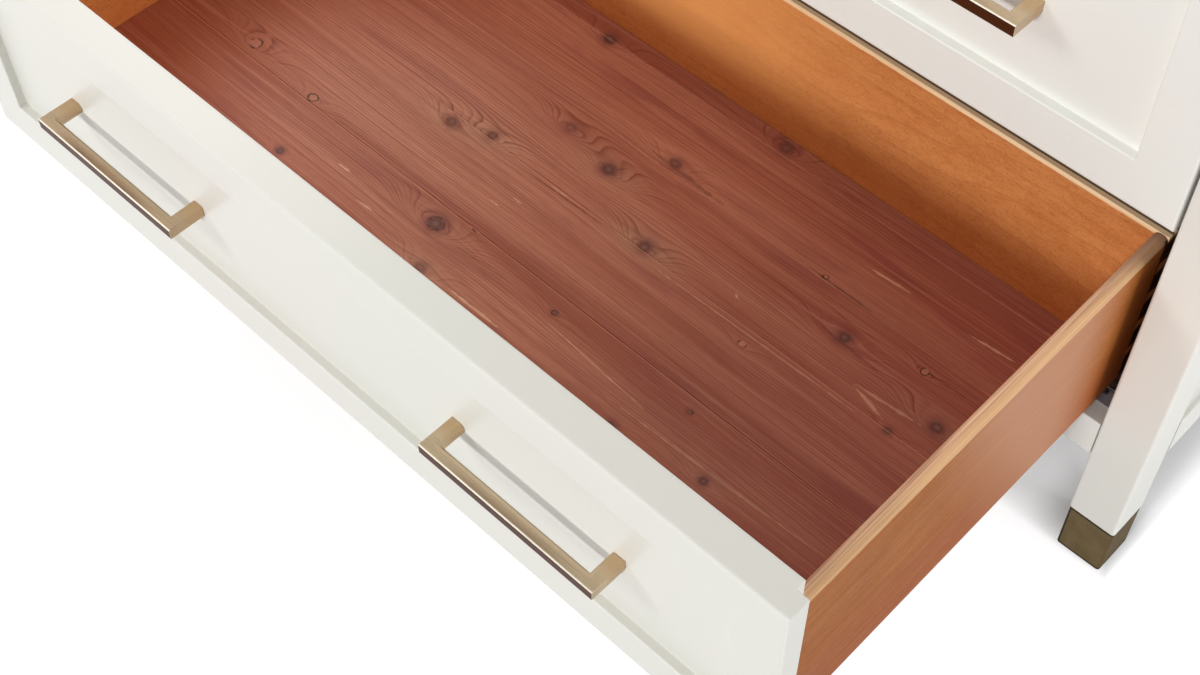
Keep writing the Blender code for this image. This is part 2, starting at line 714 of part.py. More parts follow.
def build_slide_cabinet(name, side, level):
    """The fixed channel: a flange on the posts, a shelf and an upturned inner lip."""
    near = FIT_GAP
    flange = near + SLIDE_STEEL
    far = SLIDE_END_INSET
    low = level + SLIDE_SHELF_RISE
    shelf = low + SLIDE_STEEL
    section = [
        (near, low), (far, low), (far, low + SLIDE_LIP_HEIGHT),
        (far - SLIDE_STEEL, low + SLIDE_LIP_HEIGHT), (far - SLIDE_STEEL, shelf),
        (flange, shelf), (flange, low + SLIDE_FLANGE_HEIGHT), (near, low + SLIDE_FLANGE_HEIGHT),
    ]
    outline = [(side * (OPENING_HALF - inset), z) for inset, z in section]
    front = FRONT_Y + SLIDE_START_Y
    rear = FRONT_Y + SLIDE_END_Y
    channel = add_outline(name, outline, 'Y', front, rear, STEEL)
    bend_steel(channel, [outline[0], outline[1]], SLIDE_BEND + SLIDE_STEEL)
    bend_steel(channel, [outline[4], outline[5]], SLIDE_BEND)
    post_places = ((front + FRONT_Y + POST_SIZE) / 2, (rear + BACK_Y - POST_SIZE) / 2)
    for number, place in enumerate(post_places):
        hole = add_hole(f"{name}_hole_{number}", side, place, (shelf + low + SLIDE_FLANGE_HEIGHT) / 2)
        cut(channel, hole)


def add_hole(name, side, y, z):
    """A cutter for a screw hole through the flange of a fixed channel."""
    mesh = bpy.data.meshes.new(name)
    bm = bmesh.new()
    radius = SLIDE_HOLE_DIAMETER / 2
    bmesh.ops.create_cone(
        bm, cap_ends=True, segments=SLIDE_HOLE_SIDES, radius1=radius, radius2=radius,
        depth=SLIDE_STEEL + 2 * OVERRUN,
    )
    bmesh.ops.rotate(bm, verts=bm.verts, matrix=Matrix(((0, 0, 1), (0, 1, 0), (-1, 0, 0))))
    bm.to_mesh(mesh)
    bm.free()
    return add_object(name, mesh, None, None, (side * (OPENING_HALF - FIT_GAP - SLIDE_STEEL / 2), y, z))


def build_pull(name, side, parent):
    """A square bar pull: flat outside, strongly rounded inside, mitred at its corners."""
    root = FRONT_RECESS - FIT_GAP
    face = FRONT_RECESS - PULL_PROJECTION
    bar = face + PULL_BAR_DEPTH
    half = PULL_LENGTH / 2
    inner = half - PULL_POST_WIDTH
    plan = [
        (-half, root), (-half, face), (half, face), (half, root),
        (inner, root), (inner, bar), (-inner, bar), (-inner, root),
    ]
    low = (FRONT_HEIGHT - PULL_HEIGHT) / 2 - PULL_DROP
    pull = add_outline(name, plan, 'Z', low, low + PULL_HEIGHT, BRONZE, parent)
    pull.location.x = side * PULL_SPACING / 2

    def is_level(start, end):
        return abs(start.z - end.z) < SAME_PLACE

    def is_inner(start, end):
        within = max(abs(start.x), abs(end.x)) < inner + SAME_PLACE
        behind = min(start.y, end.y) > bar - SAME_PLACE
        return is_level(start, end) and within and behind

    def is_outer(start, end):
        at_face = max(start.y, end.y) < face + SAME_PLACE
        at_end = min(abs(start.x), abs(end.x)) > half - SAME_PLACE
        return is_level(start, end) and (at_face or at_end)
    round_edges(pull, is_inner, PULL_INNER_ROUND, 4)
    round_edges(pull, is_outer, PULL_OUTER_EASE, 1)


def build_case():
    for end_label, end in (("front", -1), ("rear", 1)):
        for label, side in SIDES:
            build_post(f"post_{end_label}_{label}", side, end)
            build_ferrule(f"ferrule_{end_label}_{label}", side, end)
    for label, side in SIDES:
        build_side_panel(f"side_panel_{label}", side)
    build_front_rail()
    build_base_frame()
    build_back_panel()
    build_top_panel()


def build_open_box(number, parent):
    """The box of the drawer that stands open, board by board."""
    for label, side in SIDES:
        build_box_side(number, label, side, parent)
        high = BOTTOM_Z - FIT_GAP
        member = add_slide_upper(f"slide_{number}_{label}_drawer", side, high, STEEL, parent)
        bend_channel(member, side * SLIDE_X, SLIDE_UPPER_WIDTH / 2, high)
    build_box_back(number, parent)
    build_bottom(number, parent)
    build_cedar(number, parent)


def build_drawer(number):
    level = RAIL_TOP + REVEAL + (number - 1) * DRAWER_PITCH
    travel = DRAWER_TRAVEL if number == OPEN_DRAWER else 0
    carriage = add_empty(f"drawer_{number}_travel", (0, FRONT_Y - travel, level))
    halfway = add_empty(f"slide_{number}_travel", (0, FRONT_Y - travel / 2, level))
    build_front(number, carriage)
    for label, side in SIDES:
        build_pull(f"drawer_{number}_pull_{label}", side, carriage)
        build_slide_cabinet(f"slide_{number}_{label}_cabinet", side, level)
        build_slide_middle(f"slide_{number}_{label}_middle", side, halfway)
    if number == OPEN_DRAWER:
        build_open_box(number, carriage)
    else:
        build_glued_box(number, carriage)


build_case()
for drawer_number in range(1, DRAWER_COUNT + 1):
    build_drawer(drawer_number)
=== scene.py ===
"""Looks of a tall painted chest whose cedar-lined bottom drawer stands open."""

import math

import bpy
import bmesh
from mathutils import Matrix, Vector


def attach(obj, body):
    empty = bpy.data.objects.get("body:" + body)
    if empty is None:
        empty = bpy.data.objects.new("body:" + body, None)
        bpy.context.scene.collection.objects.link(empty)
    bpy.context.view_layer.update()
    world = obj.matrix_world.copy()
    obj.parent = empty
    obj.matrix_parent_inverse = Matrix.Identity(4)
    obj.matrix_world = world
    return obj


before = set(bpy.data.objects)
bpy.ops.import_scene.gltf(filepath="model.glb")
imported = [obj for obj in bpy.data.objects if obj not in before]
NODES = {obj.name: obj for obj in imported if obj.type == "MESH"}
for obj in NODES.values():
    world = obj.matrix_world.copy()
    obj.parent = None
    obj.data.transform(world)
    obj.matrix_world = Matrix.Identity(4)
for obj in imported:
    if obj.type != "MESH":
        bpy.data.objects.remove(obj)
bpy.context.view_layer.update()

# Camera: its place in metres, the way it looks in degrees, and its focal length in pixels of the photograph
PHOTO_WIDTH = 1200
FOCAL_PIXELS = 1787.92
CAMERA_PLACE = (0.71895, -0.8558, 1.37824)
CAMERA_AZIMUTH = 44.616
CAMERA_ELEVATION = 53.9453
CAMERA_ROLL = -0.9004
SENSOR_WIDTH = 36.0

# Light: each lamp's name, place, the point it aims at, the side of its square and its power in watts
SKY_STRENGTH = 0.35
LAMPS = (
    ("front_lamp", (0.9, -7.2, 2.6), (0.0, -0.2, 0.45), 0.8, 262.0),
    ("soft_lamp", (-2.4, -3.4, 3.0), (0.0, -0.2, 0.45), 1.6, 48.0),
    ("left_lamp", (-1.15, -0.25, 1.75), (-0.1, -0.15, 0.25), 0.8, 3.6),
    ("rear_lamp", (-2.0, 0.95, 2.45), (-0.2, -0.2, 0.3), 1.3, 17.5),
    ("right_lamp", (2.9, 0.15, 1.3), (0.3, -0.2, 0.4), 1.1, 35.0),
    ("back_lamp", (-0.6, 4.5, 2.3), (0.0, 0.4, 0.6), 1.6, 50.0),
)

# Sizes of the chest that the materials and the small pieces go by
DRAWER_COUNT = 5
DRAWER_LOWEST = 0.187
DRAWER_PITCH = 0.235
PULL_MIDDLE = 0.2285
LEG_MIDDLE_X = 0.4795
LEG_MIDDLE_FRONT = -0.0027
LEG_MIDDLE_REAR = 0.4353


# Node trees
class Graph:
    """A material whose node tree is written as expressions."""

    def __init__(self, name):
        self.material = bpy.data.materials.new(name)
        self.material.use_nodes = True
        self.tree = self.material.node_tree
        self.tree.nodes.clear()
        self.output = self.add("ShaderNodeOutputMaterial")
        self.shader = self.add("ShaderNodeBsdfPrincipled")
        self.tree.links.new(self.shader.outputs[0], self.output.inputs[0])

    def add(self, kind, **settings):
        node = self.tree.nodes.new(kind)
        for name, value in settings.items():
            setattr(node, name, value)
        return node

    def feed(self, socket, value):
        if isinstance(value, bpy.types.NodeSocket):
            self.tree.links.new(value, socket)
        else:
            socket.default_value = value

    def math(self, operation, a, b=0.0, c=0.0, clamp=False):
        node = self.add("ShaderNodeMath", operation=operation, use_clamp=clamp)
        for socket, value in zip(node.inputs, (a, b, c)):
            self.feed(socket, value)
        return node.outputs[0]

    def total(self, first, *others):
        for other in others:
            first = self.math("ADD", first, other)
        return first

    def scale(self, value, factor, shift=0.0):
        return self.math("MULTIPLY_ADD", value, factor, shift)

    def vector(self, x=0.0, y=0.0, z=0.0):
        node = self.add("ShaderNodeCombineXYZ")
        for socket, value in zip(node.inputs, (x, y, z)):
            self.feed(socket, value)
        return node.outputs[0]

    def vectors(self, operation, a, b):
        node = self.add("ShaderNodeVectorMath", operation=operation)
        self.feed(node.inputs[0], a)
        self.feed(node.inputs[1], b)
        return node.outputs["Value" if operation == "DOT_PRODUCT" else "Vector"]

    def split(self, vector):
        node = self.add("ShaderNodeSeparateXYZ")
        self.feed(node.inputs[0], vector)
        return node.outputs[0], node.outputs[1], node.outputs[2]

    def place(self):
        return self.add("ShaderNodeTexCoord").outputs["Object"]

    def normal(self):
        return self.add("ShaderNodeTexCoord").outputs["Normal"]

    def absolute(self, value):
        return self.math("ABSOLUTE", value)

    def product(self, a, b, clamp=False):
        return self.math("MULTIPLY", a, b, clamp=clamp)

    def larger(self, a, b):
        return self.math("MAXIMUM", a, b)

    def noise(self, vector, scale=1.0, detail=2.0, roughness=0.5, distortion=0.0):
        node = self.add("ShaderNodeTexNoise")
        self.feed(node.inputs["Vector"], vector)
        node.inputs["Scale"].default_value = scale
        node.inputs["Detail"].default_value = detail
        node.inputs["Roughness"].default_value = roughness
        node.inputs["Distortion"].default_value = distortion
        return node.outputs[0]

    def chance(self, value):
        node = self.add("ShaderNodeTexWhiteNoise", noise_dimensions="1D")
        self.feed(node.inputs["W"], value)
        return node.outputs["Value"]

    def step(self, value, low, high, to_low=0.0, to_high=1.0):
        node = self.add("ShaderNodeMapRange", interpolation_type="SMOOTHSTEP")
        self.feed(node.inputs["Value"], value)
        for name, end in zip(("From Min", "From Max", "To Min", "To Max"), (low, high, to_low, to_high)):
            self.feed(node.inputs[name], end)
        return node.outputs[0]

    def mix(self, factor, a, b, blend="MIX"):
        node = self.add("ShaderNodeMix", data_type="RGBA", blend_type=blend)
        self.feed(node.inputs["Factor"], factor)
        self.feed(node.inputs[6], colour(a))
        self.feed(node.inputs[7], colour(b))
        return node.outputs[2]

    def bump(self, height, distance, strength=1.0, normal=None):
        node = self.add("ShaderNodeBump")
        node.inputs["Strength"].default_value = strength
        node.inputs["Distance"].default_value = distance
        self.feed(node.inputs["Height"], height)
        if normal is not None:
            self.feed(node.inputs["Normal"], normal)
        return node.outputs[0]

    def rounded(self, radius):
        node = self.add("ShaderNodeBevel", samples=4)
        node.inputs["Radius"].default_value = radius
        return node.outputs[0]

    def set(self, **sockets):
        for name, value in sockets.items():
            socket = self.shader.inputs[name.replace("_", " ").title().replace("Ior", "IOR")]
            self.feed(socket, colour(value) if name == "base_color" else value)
        return self.material


def colour(value):
    if isinstance(value, tuple) and len(value) == 3:
        return (*value, 1.0)
    return value


# Cream paint over close-grained wood
PAINT_WARM = (0.835, 0.800, 0.735)
PAINT_COOL = (0.815, 0.805, 0.735)
PAINT_DUST = (0.700, 0.665, 0.590)
PAINTED_EDGE_HIGHLIGHT = (0.960, 0.955, 0.930)
PAINT_ROUND = 0.0013
FAR_OUT_PAINTED_SHADE = (0.870, 0.850, 0.830)
NO_CHANGE = (1.0, 1.0, 1.0)
FAR_OUT = -0.40
NEAR_CASE = -0.06


def cream_paint(name, painted_lift, painted_cast, painted_far_shade):
    """The lift makes a coat paler and the cast cooler: painted light, for a lit copy of the paint. Far out in
    front of the case the coat is toned darker with painted shade.
    """
    g = Graph(name)
    place = g.place()
    x, y, z = g.split(place)
    cloud = g.noise(place, 3.0, 3.0)
    fibre = g.noise(g.vector(g.scale(x, 14.0), g.scale(y, 14.0), g.scale(z, 220.0)), 1.0, 3.0)
    peel = g.noise(place, 620.0, 2.0)
    dust = g.noise(place, 60.0, 4.0, 0.65)
    # Painted light: the lift and the cast make this copy of the coat paler and cooler
    shares = (painted_lift, painted_lift * painted_cast, painted_lift * painted_cast * painted_cast)
    warm, cool = (
        tuple(part * share for part, share in zip(coat, shares)) for coat in (PAINT_WARM, PAINT_COOL)
    )
    tone = g.mix(g.step(cloud, 0.35, 0.65), warm, cool)
    tone = g.mix(g.step(dust, 0.60, 0.80, 0.0, 0.10), tone, PAINT_DUST)
    geometry = g.add("ShaderNodeNewGeometry")
    depth = g.split(geometry.outputs["Position"])[1]
    # Painted shade: far out in front of the case the coat is toned darker
    tone = g.mix(1.0, tone, g.mix(g.step(depth, FAR_OUT, NEAR_CASE), painted_far_shade, NO_CHANGE), "MULTIPLY")
    # Painted highlight: the paint is painted palest where it wraps round an edge
    soft = g.rounded(PAINT_ROUND)
    bend = g.vectors("DOT_PRODUCT", soft, geometry.outputs["True Normal"])
    tone = g.mix(g.step(bend, 0.930, 0.995, 0.85, 0.0), tone, PAINTED_EDGE_HIGHLIGHT)
    height = g.total(g.scale(peel, 0.6), g.scale(fibre, 0.4))
    g.set(
        base_color=tone,
        roughness=g.step(cloud, 0.2, 0.8, 0.34, 0.46),
        normal=g.bump(height, 0.00006, 0.35, soft),
        ior=1.48,
        coat_weight=0.25,
        coat_roughness=0.22,
    )
    return g.material


# Stained birch of the drawer boxes: sizes, then its tones
RIM_START = 0.1893
RIM_FULL = 0.1913
RIM_SPLIT = 0.4385
SIDE_OUTER = 0.4440
SIDE_INNER = 0.4319
BIRCH_DEEP = (0.585, 0.212, 0.062)
BIRCH_LIGHT = (0.660, 0.262, 0.084)
BIRCH_FOOT_PAINTED_SHADE = (0.560, 0.132, 0.028)
BIRCH_RING = (0.330, 0.078, 0.018)
BIRCH_STRAND = (0.400, 0.105, 0.026)
BIRCH_SPECK = (0.360, 0.095, 0.022)
BIRCH_FLECK = (0.390, 0.105, 0.026)
BIRCH_BRIGHT = (0.760, 0.360, 0.135)
OUTSIDE_PAINTED_SHADE = (0.665, 0.555, 0.270)
OUTSIDE_PAINTED_REFLECTION = (0.600, 0.295, 0.175)
BACK_PAINTED_LIGHT = (0.860, 0.380, 0.120)
GAP_PAINTED_SHADE = (0.014, 0.009, 0.008)
SIDE_RIM = ((0.830, 0.515, 0.285), (0.690, 0.375, 0.190))
SIDE_RIM_BROWN = ((0.900, 0.560, 0.360), (0.640, 0.330, 0.190))
SIDE_RIM_WORN = (0.420, 0.190, 0.110)
SIDE_RIM_ARRIS = (0.200, 0.085, 0.050)
SIDE_RIM_PAINTED_SHADE = (0.150, 0.070, 0.040)
BACK_RIM = ((0.980, 0.740, 0.460), (0.900, 0.610, 0.340))
BACK_RIM_PAINTED_SHADE = (0.120, 0.055, 0.028)


def side_rim(g, x, y, streak, rim):
    """The top edge of a side board: pale outside, brown inside, and on the open drawer painted darker at its
    rear as painted shade.
    """
    wide = g.absolute(x)
    brown = g.mix(g.step(streak, 0.36, 0.66), *SIDE_RIM_BROWN)
    worn = g.noise(g.vector(g.scale(y, 7.0), g.scale(x, 160.0), 0.0), 1.0, 2.0)
    brown = g.mix(g.step(worn, 0.54, 0.70, 0.0, 0.5), brown, SIDE_RIM_WORN)
    pale = g.mix(g.step(streak, 0.35, 0.7), *SIDE_RIM)
    pale = g.mix(g.step(wide, RIM_SPLIT - 0.0012, RIM_SPLIT + 0.0006), brown, pale)
    pale = g.mix(g.step(wide, SIDE_INNER, SIDE_INNER + 0.0010, 0.5, 0.0), pale, SIDE_RIM_ARRIS)
    if rim == "side":
        # Painted shade: the rim darkens towards its rear
        rear = g.larger(g.step(y, -0.110, 0.000, 0.0, 0.30), g.step(y, -0.018, 0.014, 0.0, 0.70))
        pale = g.mix(rear, pale, SIDE_RIM_PAINTED_SHADE)
    return pale


def back_rim(g, y, streak):
    """The top edge of the back board, with a dark line of painted shade along its rear."""
    pale = g.mix(g.step(streak, 0.35, 0.7), *BACK_RIM)
    # Painted shade: a dark line along the rear of the top edge
    line = g.product(g.step(y, 0.0100, 0.0107, 0.0, 0.85), g.step(y, 0.0125, 0.0135, 1.0, 0.0))
    return g.mix(line, pale, BACK_RIM_PAINTED_SHADE)


def birch(name, axis, seed, rim=None):
    """Grain runs along the axis. The rim says whose bare top edge shows: a side's, a box's or a back's."""
    g = Graph(name)
    x, y, z = g.split(g.place())
    along, across = (y, x) if axis == "Y" else (x, y)

    def fibres(length, width, detail, rough=0.6):
        spot = g.vector(g.scale(along, length, seed), g.scale(across, width), g.scale(z, width))
        return g.noise(spot, 1.0, detail, rough)

    bend = g.noise(g.vector(g.scale(along, 2.2, seed), g.scale(across, 14.0), g.scale(z, 11.0)), 1.0, 2.0)
    strand = fibres(12.0, 330.0, 3.0)
    fleck = fibres(190.0, 800.0, 2.0)
    mottle = fibres(26.0, 60.0, 3.0)
    speck = fibres(420.0, 640.0, 2.0, 0.7)
    ring = g.math("FRACT", g.total(g.scale(z, 38.0), g.scale(bend, 7.0), g.scale(across, 20.0)))
    line = g.product(g.math("POWER", ring, 5.0), g.step(ring, 0.94, 1.0, 1.0, 0.0))
    rise = g.math("MODULO", g.math("SUBTRACT", z, DRAWER_LOWEST), DRAWER_PITCH)
    tone = g.mix(g.step(mottle, 0.28, 0.72), BIRCH_DEEP, BIRCH_LIGHT)
    # Painted shade: each board is painted darker towards the foot of its drawer level
    tone = g.mix(g.step(rise, 0.040, 0.120, 0.55, 0.0), tone, BIRCH_FOOT_PAINTED_SHADE)
    tone = g.mix(g.scale(line, 0.30 if rim == "back" else 0.22), tone, BIRCH_RING)
    tone = g.mix(g.step(strand, 0.48, 0.72, 0.0, 0.10), tone, BIRCH_STRAND)
    tone = g.mix(g.step(speck, 0.54, 0.72, 0.0, 0.50), tone, BIRCH_SPECK)
    tone = g.mix(g.step(fleck, 0.52, 0.72, 0.0, 0.36), tone, BIRCH_FLECK)
    tone = g.mix(g.step(fleck, 0.28, 0.44, 0.25, 0.0), tone, BIRCH_BRIGHT)
    wide = g.absolute(x)
    if rim == "side":
        # Painted shade and reflection: the outer face is painted browner, with a pink painted reflection that
        # fades before the post
        outside = g.step(wide, SIDE_OUTER - 0.002, SIDE_OUTER - 0.001)
        painted_reflection = g.step(g.math("MULTIPLY_ADD", z, 0.50, y), -0.095, 0.010, 0.0, 0.85)
        painted_reflection = g.product(painted_reflection, g.step(y, -0.100, -0.025, 1.0, 0.10))
        tone = g.mix(outside, tone, g.mix(1.0, tone, OUTSIDE_PAINTED_SHADE, "MULTIPLY"))
        tone = g.mix(g.product(painted_reflection, outside), tone, OUTSIDE_PAINTED_REFLECTION)
    if rim == "back":
        # Painted light: the back board is painted lighter above its lower part, most towards the left
        painted_lit_patch = g.product(g.step(x, -0.050, 0.230, 0.70, 0.0), g.step(z, 0.245, 0.280))
        tone = g.mix(painted_lit_patch, tone, BACK_PAINTED_LIGHT)
    if rim:
        ragged = g.noise(g.vector(g.scale(along, 60.0), across, g.scale(z, 300.0)), 1.0, 3.0, 0.6)
        thin = g.vector(g.scale(along, 8.0), g.scale(across, 800.0), g.scale(z, 200.0))
        streak = g.noise(thin, 1.0, 3.0, 0.6)
        pale = back_rim(g, y, streak) if rim == "back" else side_rim(g, x, y, streak, rim)
        edge = g.step(g.math("MULTIPLY_ADD", ragged, 0.0016, rise), RIM_START, RIM_FULL)
        tone = g.mix(edge, tone, pale)
    if rim == "side":
        # Painted shade: the board's end in the gap beside the post, where it is hardly lit, is painted black
        depth = g.math("MULTIPLY_ADD", fleck, 0.0020, y)
        gap = g.step(g.math("MULTIPLY_ADD", z, 0.047, depth), 0.0194, 0.0212)
        gap = g.product(gap, g.step(wide, SIDE_OUTER - 0.0016, SIDE_OUTER - 0.0008))
        tone = g.mix(g.scale(gap, 0.93), tone, GAP_PAINTED_SHADE)
    height = g.total(g.scale(strand, -0.4), g.scale(fleck, -0.6))
    g.set(
        base_color=tone,
        roughness=g.step(strand, 0.3, 0.7, 0.42, 0.54),
        normal=g.bump(height, 0.0001, 0.35),
        ior=1.14,
    )
    return g.material


# Aromatic cedar
# A knot's centre x and y and its radius, then how dark its heart and its rim are, and how pale its lens is
CEDAR_SEAM = -0.0930
CEDAR_BOARD = 0.0795
KNOTS = (
    (0.1080, -0.0045, 0.0064, 0.55, 0.60, 0.0),
    (0.0505, -0.0835, 0.0056, 0.60, 0.55, 0.0),
    (-0.0435, -0.1150, 0.0056, 0.45, 0.45, 0.0),
    (0.0140, -0.1275, 0.0064, 0.85, 0.65, 0.6),
    (-0.0860, -0.1685, 0.0052, 0.65, 0.50, 1.0),
    (-0.1235, -0.1820, 0.0058, 0.60, 0.55, 0.8),
    (0.0940, -0.1685, 0.0062, 0.70, 0.55, 1.0),
    (0.2720, -0.1265, 0.0056, 0.80, 0.35, 0.0),
    (0.3390, -0.1095, 0.0034, -0.45, 0.95, 0.0),
    (0.2230, -0.0900, 0.0024, -0.25, 1.00, 0.0),
    (0.3775, -0.1445, 0.0060, 0.75, 0.55, 0.6),
    (0.3520, -0.1725, 0.0036, 0.65, 0.45, 0.0),
    (0.2175, -0.1875, 0.0034, -0.75, 1.00, 0.0),
    (-0.2340, -0.2460, 0.0048, -0.35, 0.95, 0.0),
    (-0.3230, -0.2375, 0.0062, -0.30, 0.90, 0.0),
    (-0.0495, -0.2700, 0.0070, 1.00, 0.80, 0.3),
    (0.0880, -0.2680, 0.0026, 0.60, 1.00, 0.0),
    (0.2310, -0.2640, 0.0024, 0.45, 1.00, 0.0),
    (0.2805, -0.3030, 0.0040, 0.70, 0.55, 0.5),
    (-0.2070, -0.3065, 0.0038, 0.80, 0.60, 0.0),
    (-0.0245, -0.3110, 0.0060, 0.45, 0.55, 0.7),
    (-0.0935, -0.0135, 0.0062, 0.85, 0.55, 0.0),
    (0.1950, -0.3160, 0.0046, 0.75, 0.45, 0.0),
    (-0.3000, -0.0700, 0.0056, 0.65, 0.50, 0.5),
    (-0.1900, -0.3680, 0.0060, 0.75, 0.60, 0.5),
    (0.1300, -0.3750, 0.0065, 0.65, 0.60, 0.6),
)
# How many growth rings a knot adds, for each square metre of its radius squared
KNOT_SWELL = 210000.0
FARTHEST = 9.0
# Tones of the cedar
CEDAR_DARK = (0.415, 0.116, 0.062)
CEDAR_LIGHT = (0.620, 0.242, 0.142)
CEDAR_BOARD_TINT = (0.525, 0.188, 0.116)
CEDAR_BLUSH_AND_SHADE = (0.350, 0.086, 0.072)
CEDAR_LENS = (0.520, 0.262, 0.158)
CEDAR_LATE = (0.200, 0.040, 0.025)
CEDAR_FINE = (0.250, 0.057, 0.036)
CEDAR_BRIGHT = (0.700, 0.300, 0.190)
CEDAR_PAINTED_HIGHLIGHT = (0.640, 0.300, 0.200)
CEDAR_SAPWOOD = (0.820, 0.480, 0.300)
CEDAR_LEFT = (0.400, 0.095, 0.036)
CEDAR_SEAM_PAINTED_LIGHT = (0.900, 0.420, 0.280)
CEDAR_BRUISE = (0.235, 0.064, 0.052)
CEDAR_CORE = (0.190, 0.074, 0.056)
CEDAR_CORE_RING = (0.105, 0.036, 0.030)
CEDAR_CORE_LIGHT = (0.330, 0.155, 0.112)
CEDAR_OPEN_HEART = (0.600, 0.270, 0.170)
CEDAR_CRACK = (0.050, 0.014, 0.010)
CEDAR_DARK_LINE = (0.085, 0.018, 0.012)
# The painted highlight: its middle x and y, and its reach along x and y
HIGHLIGHT_MIDDLE = (-0.165, -0.170)
HIGHLIGHT_REACH = (0.150, 0.095)
# Pale streaks of sapwood: start x, end x, start y, end y, half width, strength
STREAKS = (
    (0.236, 0.284, -0.0585, -0.0555, 0.0016, 0.75),
    (0.340, 0.392, -0.0570, -0.0530, 0.0016, 0.80),
    (0.304, 0.345, -0.1570, -0.1675, 0.0022, 0.60),
    (0.304, 0.372, -0.1560, -0.1510, 0.0020, 0.50),
    (-0.160, -0.142, -0.2815, -0.2815, 0.0016, 0.85),
    (-0.120, -0.094, -0.2985, -0.2965, 0.0016, 0.75),
    (0.002, 0.072, -0.3095, -0.3095, 0.0018, 0.80),
    (-0.037, -0.024, -0.2205, -0.2205, 0.0010, 0.80),
    (-0.024, -0.011, -0.2055, -0.2055, 0.0010, 0.60),
    (0.070, 0.215, -0.2770, -0.2875, 0.0006, 0.75),
    (0.165, 0.392, -0.2985, -0.2905, 0.0016, 0.35),
    (-0.010, 0.014, -0.1740, -0.1740, 0.0010, 0.60),
    (0.100, 0.345, -0.1790, -0.1760, 0.0012, 0.45),
    (0.180, 0.186, -0.1530, -0.1560, 0.0016, 0.60),
)
# Dark lines, such as cracks beside a knot and late wood that runs to a point
DARK_STREAKS = (
    (-0.045, 0.062, -0.1770, -0.1752, 0.0009, 0.65),
    (-0.037, 0.055, -0.2752, -0.2705, 0.0007, 0.35),
    (0.018, 0.026, -0.1240, -0.1145, 0.0012, 0.90),
    (-0.025, -0.017, -0.2527, -0.2533, 0.0014, 0.90),
    (0.190, 0.300, -0.0905, -0.0935, 0.0016, 0.55),
    (0.326, 0.400, -0.1090, -0.1065, 0.0010, 0.40),
    (0.020, 0.120, -0.0860, -0.0905, 0.0026, 0.40),
    (-0.120, -0.055, -0.1580, -0.1610, 0.0008, 0.50),
    (0.240, 0.320, -0.1300, -0.1350, 0.0022, 0.35),
)


def add_knot(g, x, y, knot, sums):
    """Adds one knot to the sums: how far it pushes the grain, its nearness, heart, rim, swelling and lens."""
    centre_x, centre_y, radius, heart, rim, lens = knot
    area = radius * radius
    dx = g.math("SUBTRACT", x, centre_x)
    dy = g.math("SUBTRACT", y, centre_y)
    dy_square = g.product(dy, dy)
    dx_square = g.product(dx, dx)
    square = g.math("MULTIPLY_ADD", dx_square, 0.16, dy_square)
    share = g.math("DIVIDE", area * 1.25, g.math("ADD", square, area * 0.55))
    push = g.math("MULTIPLY_ADD", dy, share, sums[0])
    ratio = g.math("DIVIDE", g.math("SQRT", g.math("MULTIPLY_ADD", dx_square, 0.80, dy_square)), radius)
    near = g.step(ratio, 2.4, 3.4, 1.0, 0.0)
    nearest = g.math("MINIMUM", ratio, sums[1])
    hearts = g.math("MULTIPLY_ADD", near, heart, sums[2])
    rims = g.math("MULTIPLY_ADD", near, rim, sums[3])
    bulge = g.math("EXPONENT", g.scale(square, -1.0 / (5.5 * area)))
    swell = g.math("MULTIPLY_ADD", bulge, area * KNOT_SWELL, sums[4])
    pale = g.math("MULTIPLY_ADD", bulge, lens, sums[5]) if lens else sums[5]
    return push, nearest, hearts, rims, swell, pale


def add_streak(g, x, y, waver, streak, cover):
    """Adds one tapering streak along the grain to the cover so far."""
    start_x, end_x, start_y, end_y, half, strength = streak
    slope = (end_y - start_y) / (end_x - start_x)
    reach = (end_x - start_x) / 2
    ahead = g.absolute(g.math("SUBTRACT", x, (start_x + end_x) / 2))
    taper = g.step(ahead, reach * 0.25, reach, half, 0.0)
    aside = g.absolute(g.math("SUBTRACT", y, g.scale(x, slope, start_y - slope * start_x)))
    wavy = g.math("MULTIPLY_ADD", waver, half * 1.4, aside)
    here = g.product(g.step(wavy, g.product(taper, 0.35), taper, 1.0, 0.0), strength)
    here = g.product(here, g.step(ahead, reach * 0.85, reach, 1.0, 0.0))
    return g.larger(cover, here)


